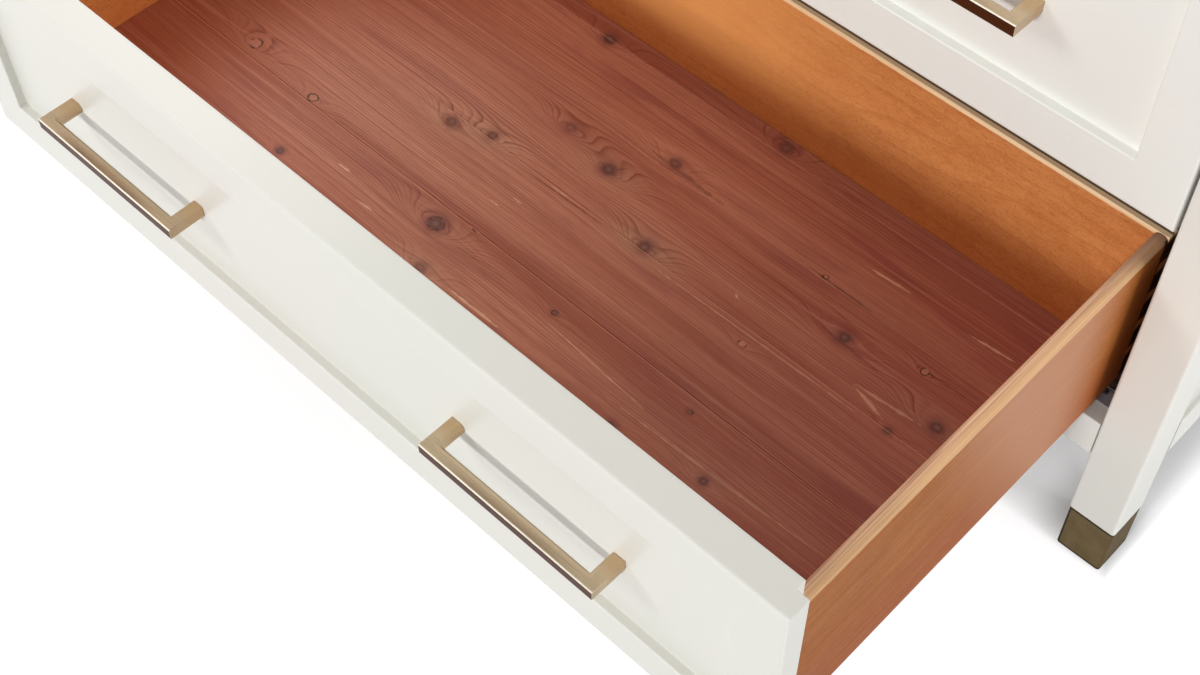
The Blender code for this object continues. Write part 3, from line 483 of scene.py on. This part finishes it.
def cedar():
    g = Graph("aromatic_cedar")
    place = g.place()
    x, y, z = g.split(place)
    wander = g.noise(place, 150.0, 1.0)
    wander_two = g.noise(g.vector(g.scale(x, 1.0, 3.0), y, z), 160.0, 1.0)
    waver = g.math("SUBTRACT", wander, 0.5)
    sums = (0.0, FARTHEST, 0.0, 0.0, 0.0, 0.0)
    for knot in KNOTS:
        sums = add_knot(g, x, y, knot, sums)
    push, nearest, hearts, rims, swell, lens = sums
    ragged = g.math("SUBTRACT", g.math("ADD", wander, wander_two), 1.0)
    nearest = g.larger(g.math("MULTIPLY_ADD", ragged, g.step(nearest, 0.3, 1.0, 0.1, 0.75), nearest), 0.0)
    board = g.math("FLOOR", g.math("DIVIDE", g.math("SUBTRACT", y, CEDAR_SEAM), CEDAR_BOARD))
    one = g.chance(board)
    two = g.chance(g.scale(board, 1.0, 17.0))
    flow = g.math("SUBTRACT", y, push)
    # Growth rings are contour lines of a slowly bending field that swells round each knot
    drift = g.math("MULTIPLY_ADD", one, 9.0, g.scale(x, 2.4))
    field = g.noise(g.vector(drift, g.scale(flow, 15.0), g.scale(two, 9.0)), 1.0, 1.0, 0.4)
    ripple = g.noise(g.vector(g.scale(x, 14.0), g.scale(y, 60.0), g.scale(two, 3.0)), 1.0, 0.0, 0.5)
    count = g.total(g.scale(field, 9.0), g.scale(flow, 400.0), swell, g.scale(ripple, 0.45))
    ring = g.math("FRACT", count)
    own = g.chance(g.math("MULTIPLY_ADD", board, 61.0, g.math("FLOOR", count)))
    late = g.product(g.math("POWER", ring, 2.6), g.step(ring, 0.88, 1.0, 1.0, 0.0))
    late = g.product(late, g.step(own, 0.20, 1.0, 0.35, 1.25))
    patch = g.noise(g.vector(g.scale(x, 4.0), g.scale(flow, 40.0), g.scale(two, 5.0)), 1.0, 3.0)
    drift = g.math("MULTIPLY_ADD", two, 7.0, g.scale(x, 1.6))
    cloud = g.noise(g.vector(drift, g.scale(flow, 30.0), g.scale(one, 9.0)), 1.0, 3.0, 0.6)
    blush = g.noise(g.vector(g.scale(x, 9.0), g.scale(flow, 55.0), g.scale(one, 7.0)), 1.0, 2.0, 0.5)
    strand = g.noise(g.vector(g.scale(x, 6.0), g.scale(flow, 460.0), z), 1.0, 3.0, 0.6)
    fibre = g.noise(g.vector(g.scale(x, 60.0), g.scale(flow, 1500.0), z), 1.0, 2.0, 0.6)
    tone = g.mix(g.step(cloud, 0.28, 0.72), CEDAR_DARK, CEDAR_LIGHT)
    tone = g.mix(g.scale(one, 0.30), tone, CEDAR_BOARD_TINT)
    tone = g.mix(g.step(blush, 0.52, 0.74, 0.0, 0.60), tone, CEDAR_BLUSH_AND_SHADE)
    tone = g.mix(g.product(lens, 0.95, clamp=True), tone, CEDAR_LENS)
    # Painted highlight: a soft pale patch on the boards
    highlight_x = g.math("DIVIDE", g.math("SUBTRACT", x, HIGHLIGHT_MIDDLE[0]), HIGHLIGHT_REACH[0])
    highlight_y = g.math("DIVIDE", g.math("SUBTRACT", y, HIGHLIGHT_MIDDLE[1]), HIGHLIGHT_REACH[1])
    painted_highlight = g.math("MULTIPLY_ADD", highlight_x, highlight_x, g.product(highlight_y, highlight_y))
    painted_highlight = g.math("EXPONENT", g.scale(painted_highlight, -1.0))
    tone = g.mix(g.scale(painted_highlight, 0.50), tone, CEDAR_PAINTED_HIGHLIGHT)
    # Painted shade: the boards are painted darker towards the right end
    tone = g.mix(g.step(x, 0.05, 0.42, 0.0, 0.42), tone, CEDAR_BLUSH_AND_SHADE)
    tone = g.mix(g.step(x, -0.42, -0.14, 0.66, 0.0), tone, CEDAR_LEFT)
    tone = g.mix(g.product(late, g.step(patch, 0.32, 0.68, 0.50, 0.95), clamp=True), tone, CEDAR_LATE)
    tone = g.mix(g.step(strand, 0.50, 0.70, 0.0, 0.34), tone, CEDAR_FINE)
    tone = g.mix(g.step(strand, 0.30, 0.46, 0.34, 0.0), tone, CEDAR_BRIGHT)
    tone = g.mix(g.step(fibre, 0.45, 0.70, 0.0, 0.26), tone, CEDAR_FINE)
    pale = 0.0
    for streak in STREAKS:
        pale = add_streak(g, x, y, waver, streak, pale)
    tone = g.mix(g.product(pale, g.step(fibre, 0.35, 0.65, 1.0, 0.7)), tone, CEDAR_SAPWOOD)
    dark = 0.0
    for streak in DARK_STREAKS:
        dark = add_streak(g, x, y, waver, streak, dark)
    tone = g.mix(dark, tone, CEDAR_DARK_LINE)
    # Knots: a purplish bruise that fades outwards, a soft brown core, and on some a broken dark rim
    dark_heart = g.larger(hearts, 0.0)
    bruise = g.product(g.step(nearest, 0.7, 2.5, 1.0, 0.0), g.product(dark_heart, 0.95, clamp=True))
    bruise = g.product(bruise, g.step(wander, 0.25, 0.70, 0.50, 1.0))
    tone = g.mix(bruise, tone, CEDAR_BRUISE)
    disc = g.step(nearest, 0.55, 1.15, 1.0, 0.0)
    halo = g.step(g.math("SINE", g.scale(nearest, 13.0)), -0.4, 0.9, 0.0, 0.45)
    core = g.mix(halo, CEDAR_CORE, CEDAR_CORE_RING)
    core = g.mix(g.step(nearest, 0.10, 0.45, 0.55, 0.0), core, CEDAR_CORE_LIGHT)
    core = g.mix(g.step(fibre, 0.4, 0.7, 0.0, 0.4), core, CEDAR_CORE_RING)
    tone = g.mix(g.product(disc, g.product(dark_heart, 1.25, clamp=True)), tone, core)
    open_heart = g.product(g.product(hearts, -1.0, clamp=True), disc)
    tone = g.mix(open_heart, tone, CEDAR_OPEN_HEART)
    edge = g.step(g.absolute(g.math("SUBTRACT", nearest, 1.0)), 0.02, 0.30, 1.0, 0.0)
    edge = g.product(edge, g.step(wander_two, 0.40, 0.56, 0.10, 1.0))
    cracked = g.product(rims, g.step(rims, 0.55, 0.85, 0.30, 1.0), clamp=True)
    tone = g.mix(g.product(edge, cracked), tone, CEDAR_CRACK)
    # Seams between the boards, painted pale inside as painted light against the shade of their grooves, so
    # that they hardly show
    turn = g.math("ADD", g.math("DIVIDE", g.math("SUBTRACT", y, CEDAR_SEAM), CEDAR_BOARD), 0.5)
    seam = g.product(g.absolute(g.math("SUBTRACT", g.math("FRACT", turn), 0.5)), CEDAR_BOARD)
    tone = g.mix(g.step(seam, 0.0004, 0.0007, 0.48, 0.0), tone, CEDAR_SEAM_PAINTED_LIGHT)
    height = g.total(g.scale(late, -0.3), g.scale(strand, -0.5), g.scale(fibre, -0.3))
    g.set(
        base_color=tone,
        roughness=g.step(strand, 0.3, 0.7, 0.42, 0.54),
        normal=g.bump(height, 0.0002, 0.30),
        ior=1.34,
    )
    return g.material


# Brushed bronze of the pulls, with how far forward of the origin the flat face of their bars stands
OPEN_PULL_FACE = 0.4578
SHUT_PULL_FACE = 0.0507
PULL_LEFT_PAINTED_SHADE = (0.490, 0.360, 0.235)
PULL_RIGHT = (0.610, 0.480, 0.330)
PULL_WAVE = (0.720, 0.570, 0.400)
PULL_PAINTED_SHADE = (0.230, 0.130, 0.080)
PULL_BRUSH = (0.400, 0.285, 0.175)
PULL_HAIR = (0.360, 0.240, 0.150)
PULL_POSTS = (0.540, 0.360, 0.190)
PULL_FACE_PAINTED_SHADE = (0.070, 0.020, 0.007)
PULL_REAR_LINE = (0.085, 0.062, 0.035)
PULL_PAINTED_HIGHLIGHT = (0.960, 0.880, 0.740)
PULL_ROUND = 0.0007


def pull_bronze():
    g = Graph("champagne_bronze_brushed")
    place = g.place()
    x, y, z = g.split(place)
    nx, ny, nz = g.split(g.normal())
    # How far behind the flat face of the bar, for the open drawer and for the closed ones
    is_open = g.math("LESS_THAN", y, -0.2)
    behind = g.math("ADD", y, g.scale(is_open, OPEN_PULL_FACE - SHUT_PULL_FACE, SHUT_PULL_FACE))
    brush = g.noise(g.vector(g.scale(x, 30.0), g.scale(y, 2200.0), g.scale(z, 2200.0)), 1.0, 3.0, 0.6)
    hair = g.noise(g.vector(g.scale(x, 900.0), g.scale(y, 120.0), g.scale(z, 120.0)), 1.0, 2.0, 0.6)
    wave = g.noise(g.vector(g.scale(x, 9.0), 0.0, g.scale(z, 3.0)), 1.0, 1.0)
    front_shade = g.step(g.scale(ny, -1.0), 0.55, 0.97)
    aside = g.math("SUBTRACT", g.absolute(x), PULL_MIDDLE)
    inward = g.step(g.absolute(aside), 0.030, 0.075, 1.0, 0.15)
    # Painted shade: the left pulls are painted darker than the right ones, and each bar's top darker towards
    # its front
    tone = g.mix(g.step(x, -0.10, 0.10), PULL_LEFT_PAINTED_SHADE, PULL_RIGHT)
    tone = g.mix(g.step(wave, 0.35, 0.65, 0.0, 0.25), tone, PULL_WAVE)
    painted_shade = g.product(inward, g.step(x, -0.10, 0.10, 0.85, 0.60))
    tone = g.mix(g.step(behind, 0.001, 0.0095, painted_shade, 0.0), tone, PULL_PAINTED_SHADE)
    tone = g.mix(g.step(brush, 0.42, 0.70, 0.0, 0.12), tone, PULL_BRUSH)
    tone = g.mix(g.step(hair, 0.55, 0.75, 0.0, 0.10), tone, PULL_HAIR)
    tone = g.mix(g.step(behind, 0.011, 0.026, 0.0, 0.60), tone, PULL_POSTS)
    # Painted shade: the bar's front face is painted dark and not metallic
    tone = g.mix(front_shade, tone, PULL_FACE_PAINTED_SHADE)
    # A dark line along the bar's rear edge and a painted highlight along its front edge
    soft = g.rounded(PULL_ROUND)
    bend = g.vectors("DOT_PRODUCT", soft, g.add("ShaderNodeNewGeometry").outputs["True Normal"])
    arris = g.step(bend, 0.90, 0.992, 1.0, 0.0)
    upward = g.step(nz, 0.55, 0.85)
    rear_line = g.product(g.step(behind, 0.0098, 0.0108, 0.0, 0.80), g.step(behind, 0.0126, 0.0136, 1.0, 0.0))
    rear_line = g.product(rear_line, g.step(g.absolute(aside), 0.0715, 0.0735, 1.0, 0.0))
    tone = g.mix(g.product(rear_line, upward), tone, PULL_REAR_LINE)
    front_highlight = g.product(g.step(behind, 0.0010, 0.0015, 1.0, 0.0), g.step(nz, 0.15, 0.45))
    front_highlight = g.larger(front_highlight, g.product(arris, g.step(behind, 0.0016, 0.0026, 0.5, 0.0)))
    tone = g.mix(front_highlight, tone, PULL_PAINTED_HIGHLIGHT)
    g.set(
        base_color=tone,
        metallic=g.math("SUBTRACT", 1.0, front_shade),
        roughness=g.larger(g.step(brush, 0.3, 0.7, 0.26, 0.36), g.step(behind, 0.012, 0.015, 0.0, 0.50)),
        normal=g.bump(brush, 0.00002, 0.3, soft),
        ior=1.15,
    )
    return g.material


# Aged bronze of the leg ferrules
FERRULE_DEEP = (0.150, 0.106, 0.050)
FERRULE_LIGHT = (0.182, 0.132, 0.066)
FERRULE_BRUSH = (0.100, 0.070, 0.036)
FERRULE_PAINTED_SIDE_SHADE = (0.090, 0.058, 0.018)
FERRULE_LINE_AND_SHADE = (0.018, 0.013, 0.009)
FERRULE_ROUND = 0.0007


def leg_offsets(g, x, y):
    """How far a point lies outward of a leg's middle, and how far from the nearer leg's middle along y."""
    outward = g.scale(g.absolute(x), 1.0, -LEG_MIDDLE_X)
    front = g.absolute(g.scale(y, 1.0, -LEG_MIDDLE_FRONT))
    rear = g.absolute(g.scale(y, 1.0, -LEG_MIDDLE_REAR))
    return outward, g.math("MINIMUM", front, rear)


def ferrule_bronze():
    g = Graph("aged_bronze_satin")
    place = g.place()
    x, y, z = g.split(place)
    brush = g.noise(g.vector(g.scale(x, 900.0), g.scale(y, 900.0), g.scale(z, 40.0)), 1.0, 3.0, 0.6)
    cloud = g.noise(place, 70.0, 3.0)
    tone = g.mix(g.step(cloud, 0.3, 0.7), FERRULE_DEEP, FERRULE_LIGHT)
    tone = g.mix(g.step(brush, 0.45, 0.72, 0.0, 0.16), tone, FERRULE_BRUSH)
    # Painted shade: its side faces are painted darker, and a dark line under its top rim is painted shade
    # where it meets the post. Dark lines also run along its foot and along two of its upright edges
    outward, lengthways = leg_offsets(g, x, y)
    sideways = g.absolute(outward)
    backward = g.scale(y, 1.0, -LEG_MIDDLE_FRONT)
    corner = g.step(g.math("MINIMUM", sideways, lengthways), 0.0190, 0.0200)
    corner = g.product(corner, g.math("GREATER_THAN", g.product(outward, backward), 0.0))
    collar = g.larger(g.step(z, 0.0566, 0.0574), g.step(z, 0.0022, 0.0036, 1.0, 0.0))
    tone = g.mix(g.step(sideways, 0.0195, 0.0215, 0.0, 0.60), tone, FERRULE_PAINTED_SIDE_SHADE)
    tone = g.mix(g.scale(g.larger(corner, collar), 0.85), tone, FERRULE_LINE_AND_SHADE)
    g.set(
        base_color=tone,
        metallic=0.1,
        roughness=g.step(brush, 0.3, 0.7, 0.50, 0.62),
        ior=1.1,
        normal=g.bump(brush, 0.00003, 0.4, g.rounded(FERRULE_ROUND)),
    )
    return g.material


# Zinc-plated steel of the drawer slides
ZINC_DEEP = (0.500, 0.510, 0.540)
ZINC_LIGHT = (0.630, 0.640, 0.660)
ZINC_STREAK = (0.340, 0.340, 0.360)


def zinc_steel():
    g = Graph("zinc_steel_slide")
    place = g.place()
    x, y, z = g.split(place)
    spangle = g.noise(place, 180.0, 2.0, 0.5, 0.6)
    streak = g.noise(g.vector(g.scale(x, 1500.0), g.scale(y, 18.0), g.scale(z, 1500.0)), 1.0, 2.0)
    tone = g.mix(g.step(spangle, 0.35, 0.65), ZINC_DEEP, ZINC_LIGHT)
    tone = g.mix(g.step(streak, 0.55, 0.75, 0.0, 0.3), tone, ZINC_STREAK)
    g.set(
        base_color=tone,
        metallic=1.0,
        roughness=g.step(spangle, 0.3, 0.7, 0.30, 0.44),
        normal=g.bump(streak, 0.00004, 0.4),
    )
    return g.material


# Materials onto the frame's nodes
def wear(name, material):
    node = NODES[name]
    if not node.material_slots:
        node.data.materials.append(material)
    for slot in node.material_slots:
        slot.material = material


PAINT = cream_paint("cream_paint_case", 1.01, 1.01, NO_CHANGE)
# Painted light: the drawer fronts get a paler, cooler copy of the case's paint
FRONT_PAINT_PAINTED_LIGHT = cream_paint("cream_paint_fronts_painted_light", 1.09, 1.026, FAR_OUT_PAINTED_SHADE)
SIDE_BIRCH = birch("birch_side_board", "Y", 3.0, "side")
BACK_BIRCH = birch("birch_back_board", "X", 8.0, "back")
BOX_BIRCH = birch("birch_glued_box", "Y", 5.0, "box")
PANEL_BIRCH = birch("birch_panel", "X", 12.0)
CEDAR = cedar()
PULL_METAL = pull_bronze()
FERRULE_METAL = ferrule_bronze()
STEEL = zinc_steel()
for name in NODES:
    if name.startswith("slide_"):
        wear(name, STEEL)
    elif name.startswith("ferrule_"):
        wear(name, FERRULE_METAL)
    elif "_pull_" in name:
        wear(name, PULL_METAL)
    elif name.endswith("_cedar"):
        wear(name, CEDAR)
    elif name.endswith(("_side_left", "_side_right")):
        wear(name, SIDE_BIRCH)
    elif name.endswith("_box"):
        wear(name, BOX_BIRCH)
    elif name == "drawer_1_back":
        wear(name, BACK_BIRCH)
    elif name in ("drawer_1_bottom", "back_panel"):
        wear(name, PANEL_BIRCH)
    elif name.endswith("_front") and name.startswith("drawer_"):
        wear(name, FRONT_PAINT_PAINTED_LIGHT)
    else:
        wear(name, PAINT)


# Small fasteners: a pan head is a disc with a rounded rim and a cross recess
HEAD_SIDES = 24
# Its rings from the foot up, as shares of its radius and height, and how far the recess's corners come in
HEAD_RINGS = ((1.0, 0.0), (1.0, 0.35), (0.93, 0.68), (0.78, 0.90), (0.52, 1.0), (0.36, 1.0), (0.22, 0.45))
RECESS_WIDE = 0.4
RECESS_CORNER = 0.45


def pan_head(work, centre, axis, radius, height):
    """Adds one pan head that stands on centre and points along the axis."""
    turn = Vector((0, 0, 1)).rotation_difference(Vector(axis)).to_matrix()
    rows = []
    for wide, high in HEAD_RINGS:
        row = []
        for number in range(HEAD_SIDES):
            angle = 2 * math.pi * number / HEAD_SIDES
            reach = radius * wide
            if wide < RECESS_WIDE and number % 6 not in (0, 1, 5):
                reach *= RECESS_CORNER
            point = Vector((math.cos(angle) * reach, math.sin(angle) * reach, height * high))
            row.append(work.verts.new(Vector(centre) + turn @ point))
        rows.append(row)
    for lower, upper in zip(rows, rows[1:]):
        for number in range(HEAD_SIDES):
            after = (number + 1) % HEAD_SIDES
            work.faces.new((lower[number], lower[after], upper[after], upper[number]))
    work.faces.new(rows[-1])
    work.faces.new(rows[0][::-1])


def new_piece(name, work, material, body):
    mesh = bpy.data.meshes.new(name)
    bmesh.ops.recalc_face_normals(work, faces=work.faces)
    work.to_mesh(mesh)
    work.free()
    mesh.materials.append(material)
    piece = bpy.data.objects.new(name, mesh)
    bpy.context.scene.collection.objects.link(piece)
    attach(piece, body)
    return piece


PLATE_STEPS = 5


def rounded_plate(work, low, high, radius):
    """Adds a flat plate between two opposite corners, its four upright edges rounded."""
    outline = []
    corners = ((high[0], high[1], 0), (low[0], high[1], 1), (low[0], low[1], 2), (high[0], low[1], 3))
    for x, y, quarter in corners:
        sign_x = 1 if quarter in (0, 3) else -1
        sign_y = 1 if quarter in (0, 1) else -1
        for step in range(PLATE_STEPS + 1):
            angle = math.pi / 2 * (quarter + step / PLATE_STEPS)
            outline.append((x + radius * (math.cos(angle) - sign_x), y + radius * (math.sin(angle) - sign_y)))
    lower = [work.verts.new((x, y, low[2])) for x, y in outline]
    upper = [work.verts.new((x, y, high[2])) for x, y in outline]
    work.faces.new(upper)
    work.faces.new(lower[::-1])
    for number in range(len(outline)):
        after = (number + 1) % len(outline)
        work.faces.new((lower[number], lower[after], upper[after], upper[number]))


def blackened_steel():
    g = Graph("blackened_steel")
    grain = g.noise(g.place(), 900.0, 3.0)
    g.set(
        base_color=g.mix(grain, (0.012, 0.011, 0.013), (0.045, 0.041, 0.046)),
        roughness=g.step(grain, 0.3, 0.7, 0.22, 0.42),
        normal=g.bump(grain, 0.00004, 0.5),
        ior=1.6,
    )
    return g.material


def dull_zinc():
    g = Graph("zinc_tab_dull")
    grain = g.noise(g.place(), 320.0, 3.0, 0.6)
    g.set(
        base_color=g.mix(grain, (0.300, 0.265, 0.290), (0.400, 0.360, 0.390)),
        metallic=0.25,
        roughness=g.step(grain, 0.3, 0.7, 0.34, 0.50),
        normal=g.bump(grain, 0.00004, 0.4),
    )
    return g.material


BLACK_STEEL = blackened_steel()
DULL_ZINC = dull_zinc()

# Tabs at the front ends of the open drawer's fixed slides, and their screws' x, y, head radius and height
TAB_TOP = 0.1852
TAB_BOTTOM = 0.1841
TAB_INNER = 0.4375
TAB_OUTER = 0.4560
TAB_FRONT = -0.0075
TAB_BACK = 0.0068
TAB_ROUND = 0.0012
TAB_SCREW = (0.4412, 0.0036)
TAB_HEAD = (0.0031, 0.0015)
for side_name, side in (("left", -1), ("right", 1)):
    tab = bmesh.new()
    ends = sorted((side * TAB_INNER, side * TAB_OUTER))
    rounded_plate(tab, (ends[0], TAB_FRONT, TAB_BOTTOM), (ends[1], TAB_BACK, TAB_TOP), TAB_ROUND)
    new_piece("slide_tab_" + side_name, tab, DULL_ZINC, "case")
    screw = bmesh.new()
    pan_head(screw, (side * TAB_SCREW[0], TAB_SCREW[1], TAB_TOP), (0, 0, 1), *TAB_HEAD)
    new_piece("slide_tab_screw_" + side_name, screw, BLACK_STEEL, "case")

# Screws that hold the pulls, on the inner face of each drawer front
PULL_POST = 0.0795
PULL_RISE = 0.1150
OPEN_FRONT_BACK = -0.4037
SHUT_FRONT_BACK = 0.0034
PULL_HEAD = (0.0042, 0.0022)
for level in range(DRAWER_COUNT):
    heads = bmesh.new()
    back_y = SHUT_FRONT_BACK if level else OPEN_FRONT_BACK
    for pull in (-PULL_MIDDLE, PULL_MIDDLE):
        for post in (-PULL_POST, PULL_POST):
            centre = (pull + post, back_y, DRAWER_LOWEST + level * DRAWER_PITCH + PULL_RISE)
            pan_head(heads, centre, (0, 1, 0), *PULL_HEAD)
    drawer = "drawer_%d" % (level + 1)
    new_piece(drawer + "_pull_screws", heads, STEEL, drawer)

# Screws that hold the fixed slides, one in each flange hole
FLANGE_FACE = 0.4551
FLANGE_RISE = 0.01635
FLANGE_HOLES = (0.0126, 0.4188)
FLANGE_HEAD = (0.0036, 0.0016)
heads = bmesh.new()
for level in range(DRAWER_COUNT):
    for side in (-1, 1):
        for hole_y in FLANGE_HOLES:
            centre = (side * FLANGE_FACE, hole_y, DRAWER_LOWEST + level * DRAWER_PITCH + FLANGE_RISE)
            pan_head(heads, centre, (-side, 0, 0), *FLANGE_HEAD)
new_piece("slide_screws", heads, STEEL, "case")


# Floor, sky and lamps: the floor glows evenly, with a painted shadow: it glows less under the case and least
# beside a leg
FLOOR_GLOW = 0.75
PAINTED_SHADOW_GLOW = 0.25
SHADE_SIDE = 0.511
SHADE_FRONT = -0.0292
SHADE_BACK = 0.462
SIDE_FADE = 0.015
END_FADE = 0.030
LEG_HALF = 0.022
LEG_FADE = 0.048
FLOOR_SIZE = 14.0


def white_floor():
    g = Graph("studio_floor")
    g.tree.nodes.remove(g.shader)
    place = g.place()
    x, y, z = g.split(place)
    diffuse = g.add("ShaderNodeBsdfDiffuse")
    g.feed(diffuse.inputs["Color"], g.mix(g.noise(place, 40.0, 3.0), (0.49, 0.49, 0.50), (0.51, 0.51, 0.52)))
    # Painted shadow: how open the floor is to the light, from its distance inside each edge of the case's
    # footprint
    edges = (
        (g.scale(g.absolute(x), -1.0, SHADE_SIDE), SIDE_FADE),
        (g.scale(y, 1.0, -SHADE_FRONT), END_FADE),
        (g.scale(y, -1.0, SHADE_BACK), END_FADE),
    )
    falls = [g.math("EXPONENT", g.scale(g.larger(inside, 0.0), -1.0 / fade)) for inside, fade in edges]
    lit = g.larger(g.larger(falls[0], falls[1]), falls[2])
    # Painted shadow: darker beside a leg
    outward, lengthways = leg_offsets(g, x, y)
    from_leg = g.larger(g.absolute(outward), lengthways)
    painted_leg_shadow = g.product(g.step(from_leg, LEG_HALF, LEG_HALF + LEG_FADE, 0.90, 0.0), g.scale(lit, -1.0, 1.0))
    level = g.product(g.scale(lit, FLOOR_GLOW - PAINTED_SHADOW_GLOW, PAINTED_SHADOW_GLOW), g.scale(painted_leg_shadow, -1.0, 1.0))
    path = g.add("ShaderNodeLightPath")
    seen = g.larger(path.outputs["Is Camera Ray"], path.outputs["Is Glossy Ray"])
    seen = g.larger(seen, path.outputs["Is Transmission Ray"])
    glow = g.add("ShaderNodeEmission")
    g.feed(glow.inputs["Strength"], g.product(seen, level))
    both = g.add("ShaderNodeAddShader")
    g.feed(both.inputs[0], diffuse.outputs[0])
    g.feed(both.inputs[1], glow.outputs[0])
    g.feed(g.output.inputs[0], both.outputs[0])
    return g.material


def add_floor():
    mesh = bpy.data.meshes.new("studio_floor")
    work = bmesh.new()
    bmesh.ops.create_grid(work, x_segments=4, y_segments=4, size=FLOOR_SIZE)
    work.to_mesh(mesh)
    work.free()
    floor = bpy.data.objects.new("studio_floor", mesh)
    bpy.context.scene.collection.objects.link(floor)
    mesh.materials.append(white_floor())


def add_world():
    world = bpy.data.worlds.new("studio_sky")
    bpy.context.scene.world = world
    world.use_nodes = True
    tree = world.node_tree
    tree.nodes.clear()
    output = tree.nodes.new("ShaderNodeOutputWorld")
    sky = tree.nodes.new("ShaderNodeBackground")
    path = tree.nodes.new("ShaderNodeLightPath")
    straight = tree.nodes.new("ShaderNodeMath")
    straight.operation = "MAXIMUM"
    tree.links.new(path.outputs["Is Camera Ray"], straight.inputs[0])
    tree.links.new(path.outputs["Is Transmission Ray"], straight.inputs[1])
    seen = tree.nodes.new("ShaderNodeMath")
    seen.operation = "MAXIMUM"
    tree.links.new(straight.outputs[0], seen.inputs[0])
    tree.links.new(path.outputs["Is Glossy Ray"], seen.inputs[1])
    level = tree.nodes.new("ShaderNodeMapRange")
    tree.links.new(seen.outputs[0], level.inputs["Value"])
    level.inputs["To Min"].default_value = SKY_STRENGTH
    level.inputs["To Max"].default_value = 1.0
    tree.links.new(level.outputs[0], sky.inputs["Strength"])
    tree.links.new(sky.outputs[0], output.inputs[0])


def add_lamp(name, place, aim, size, power):
    data = bpy.data.lights.new(name, "AREA")
    data.shape = "RECTANGLE"
    data.size = size
    data.size_y = size
    data.energy = power
    lamp = bpy.data.objects.new(name, data)
    lamp.visible_camera = False
    bpy.context.scene.collection.objects.link(lamp)
    lamp.location = place
    lamp.rotation_euler = (Vector(aim) - Vector(place)).to_track_quat("-Z", "Y").to_euler()


def add_camera():
    azimuth = math.radians(CAMERA_AZIMUTH)
    elevation = math.radians(CAMERA_ELEVATION)
    roll = math.radians(CAMERA_ROLL)
    flat = math.cos(elevation)
    back = Vector((math.sin(azimuth) * flat, -math.cos(azimuth) * flat, math.sin(elevation)))
    level = Vector((0, 0, 1)).cross(back).normalized()
    above = back.cross(level)
    right = level * math.cos(roll) + above * math.sin(roll)
    up = above * math.cos(roll) - level * math.sin(roll)
    turn = Matrix((right, up, back)).transposed().to_4x4()
    data = bpy.data.cameras.new("camera")
    data.sensor_fit = "HORIZONTAL"
    data.sensor_width = SENSOR_WIDTH
    data.lens = FOCAL_PIXELS / PHOTO_WIDTH * SENSOR_WIDTH
    data.clip_start = 0.02
    camera = bpy.data.objects.new("camera", data)
    bpy.context.scene.collection.objects.link(camera)
    camera.matrix_world = Matrix.Translation(CAMERA_PLACE) @ turn
    bpy.context.scene.camera = camera


add_floor()
add_world()
for lamp in LAMPS:
    add_lamp(*lamp)
add_camera()
bpy.context.scene.view_settings.view_transform = "Standard"
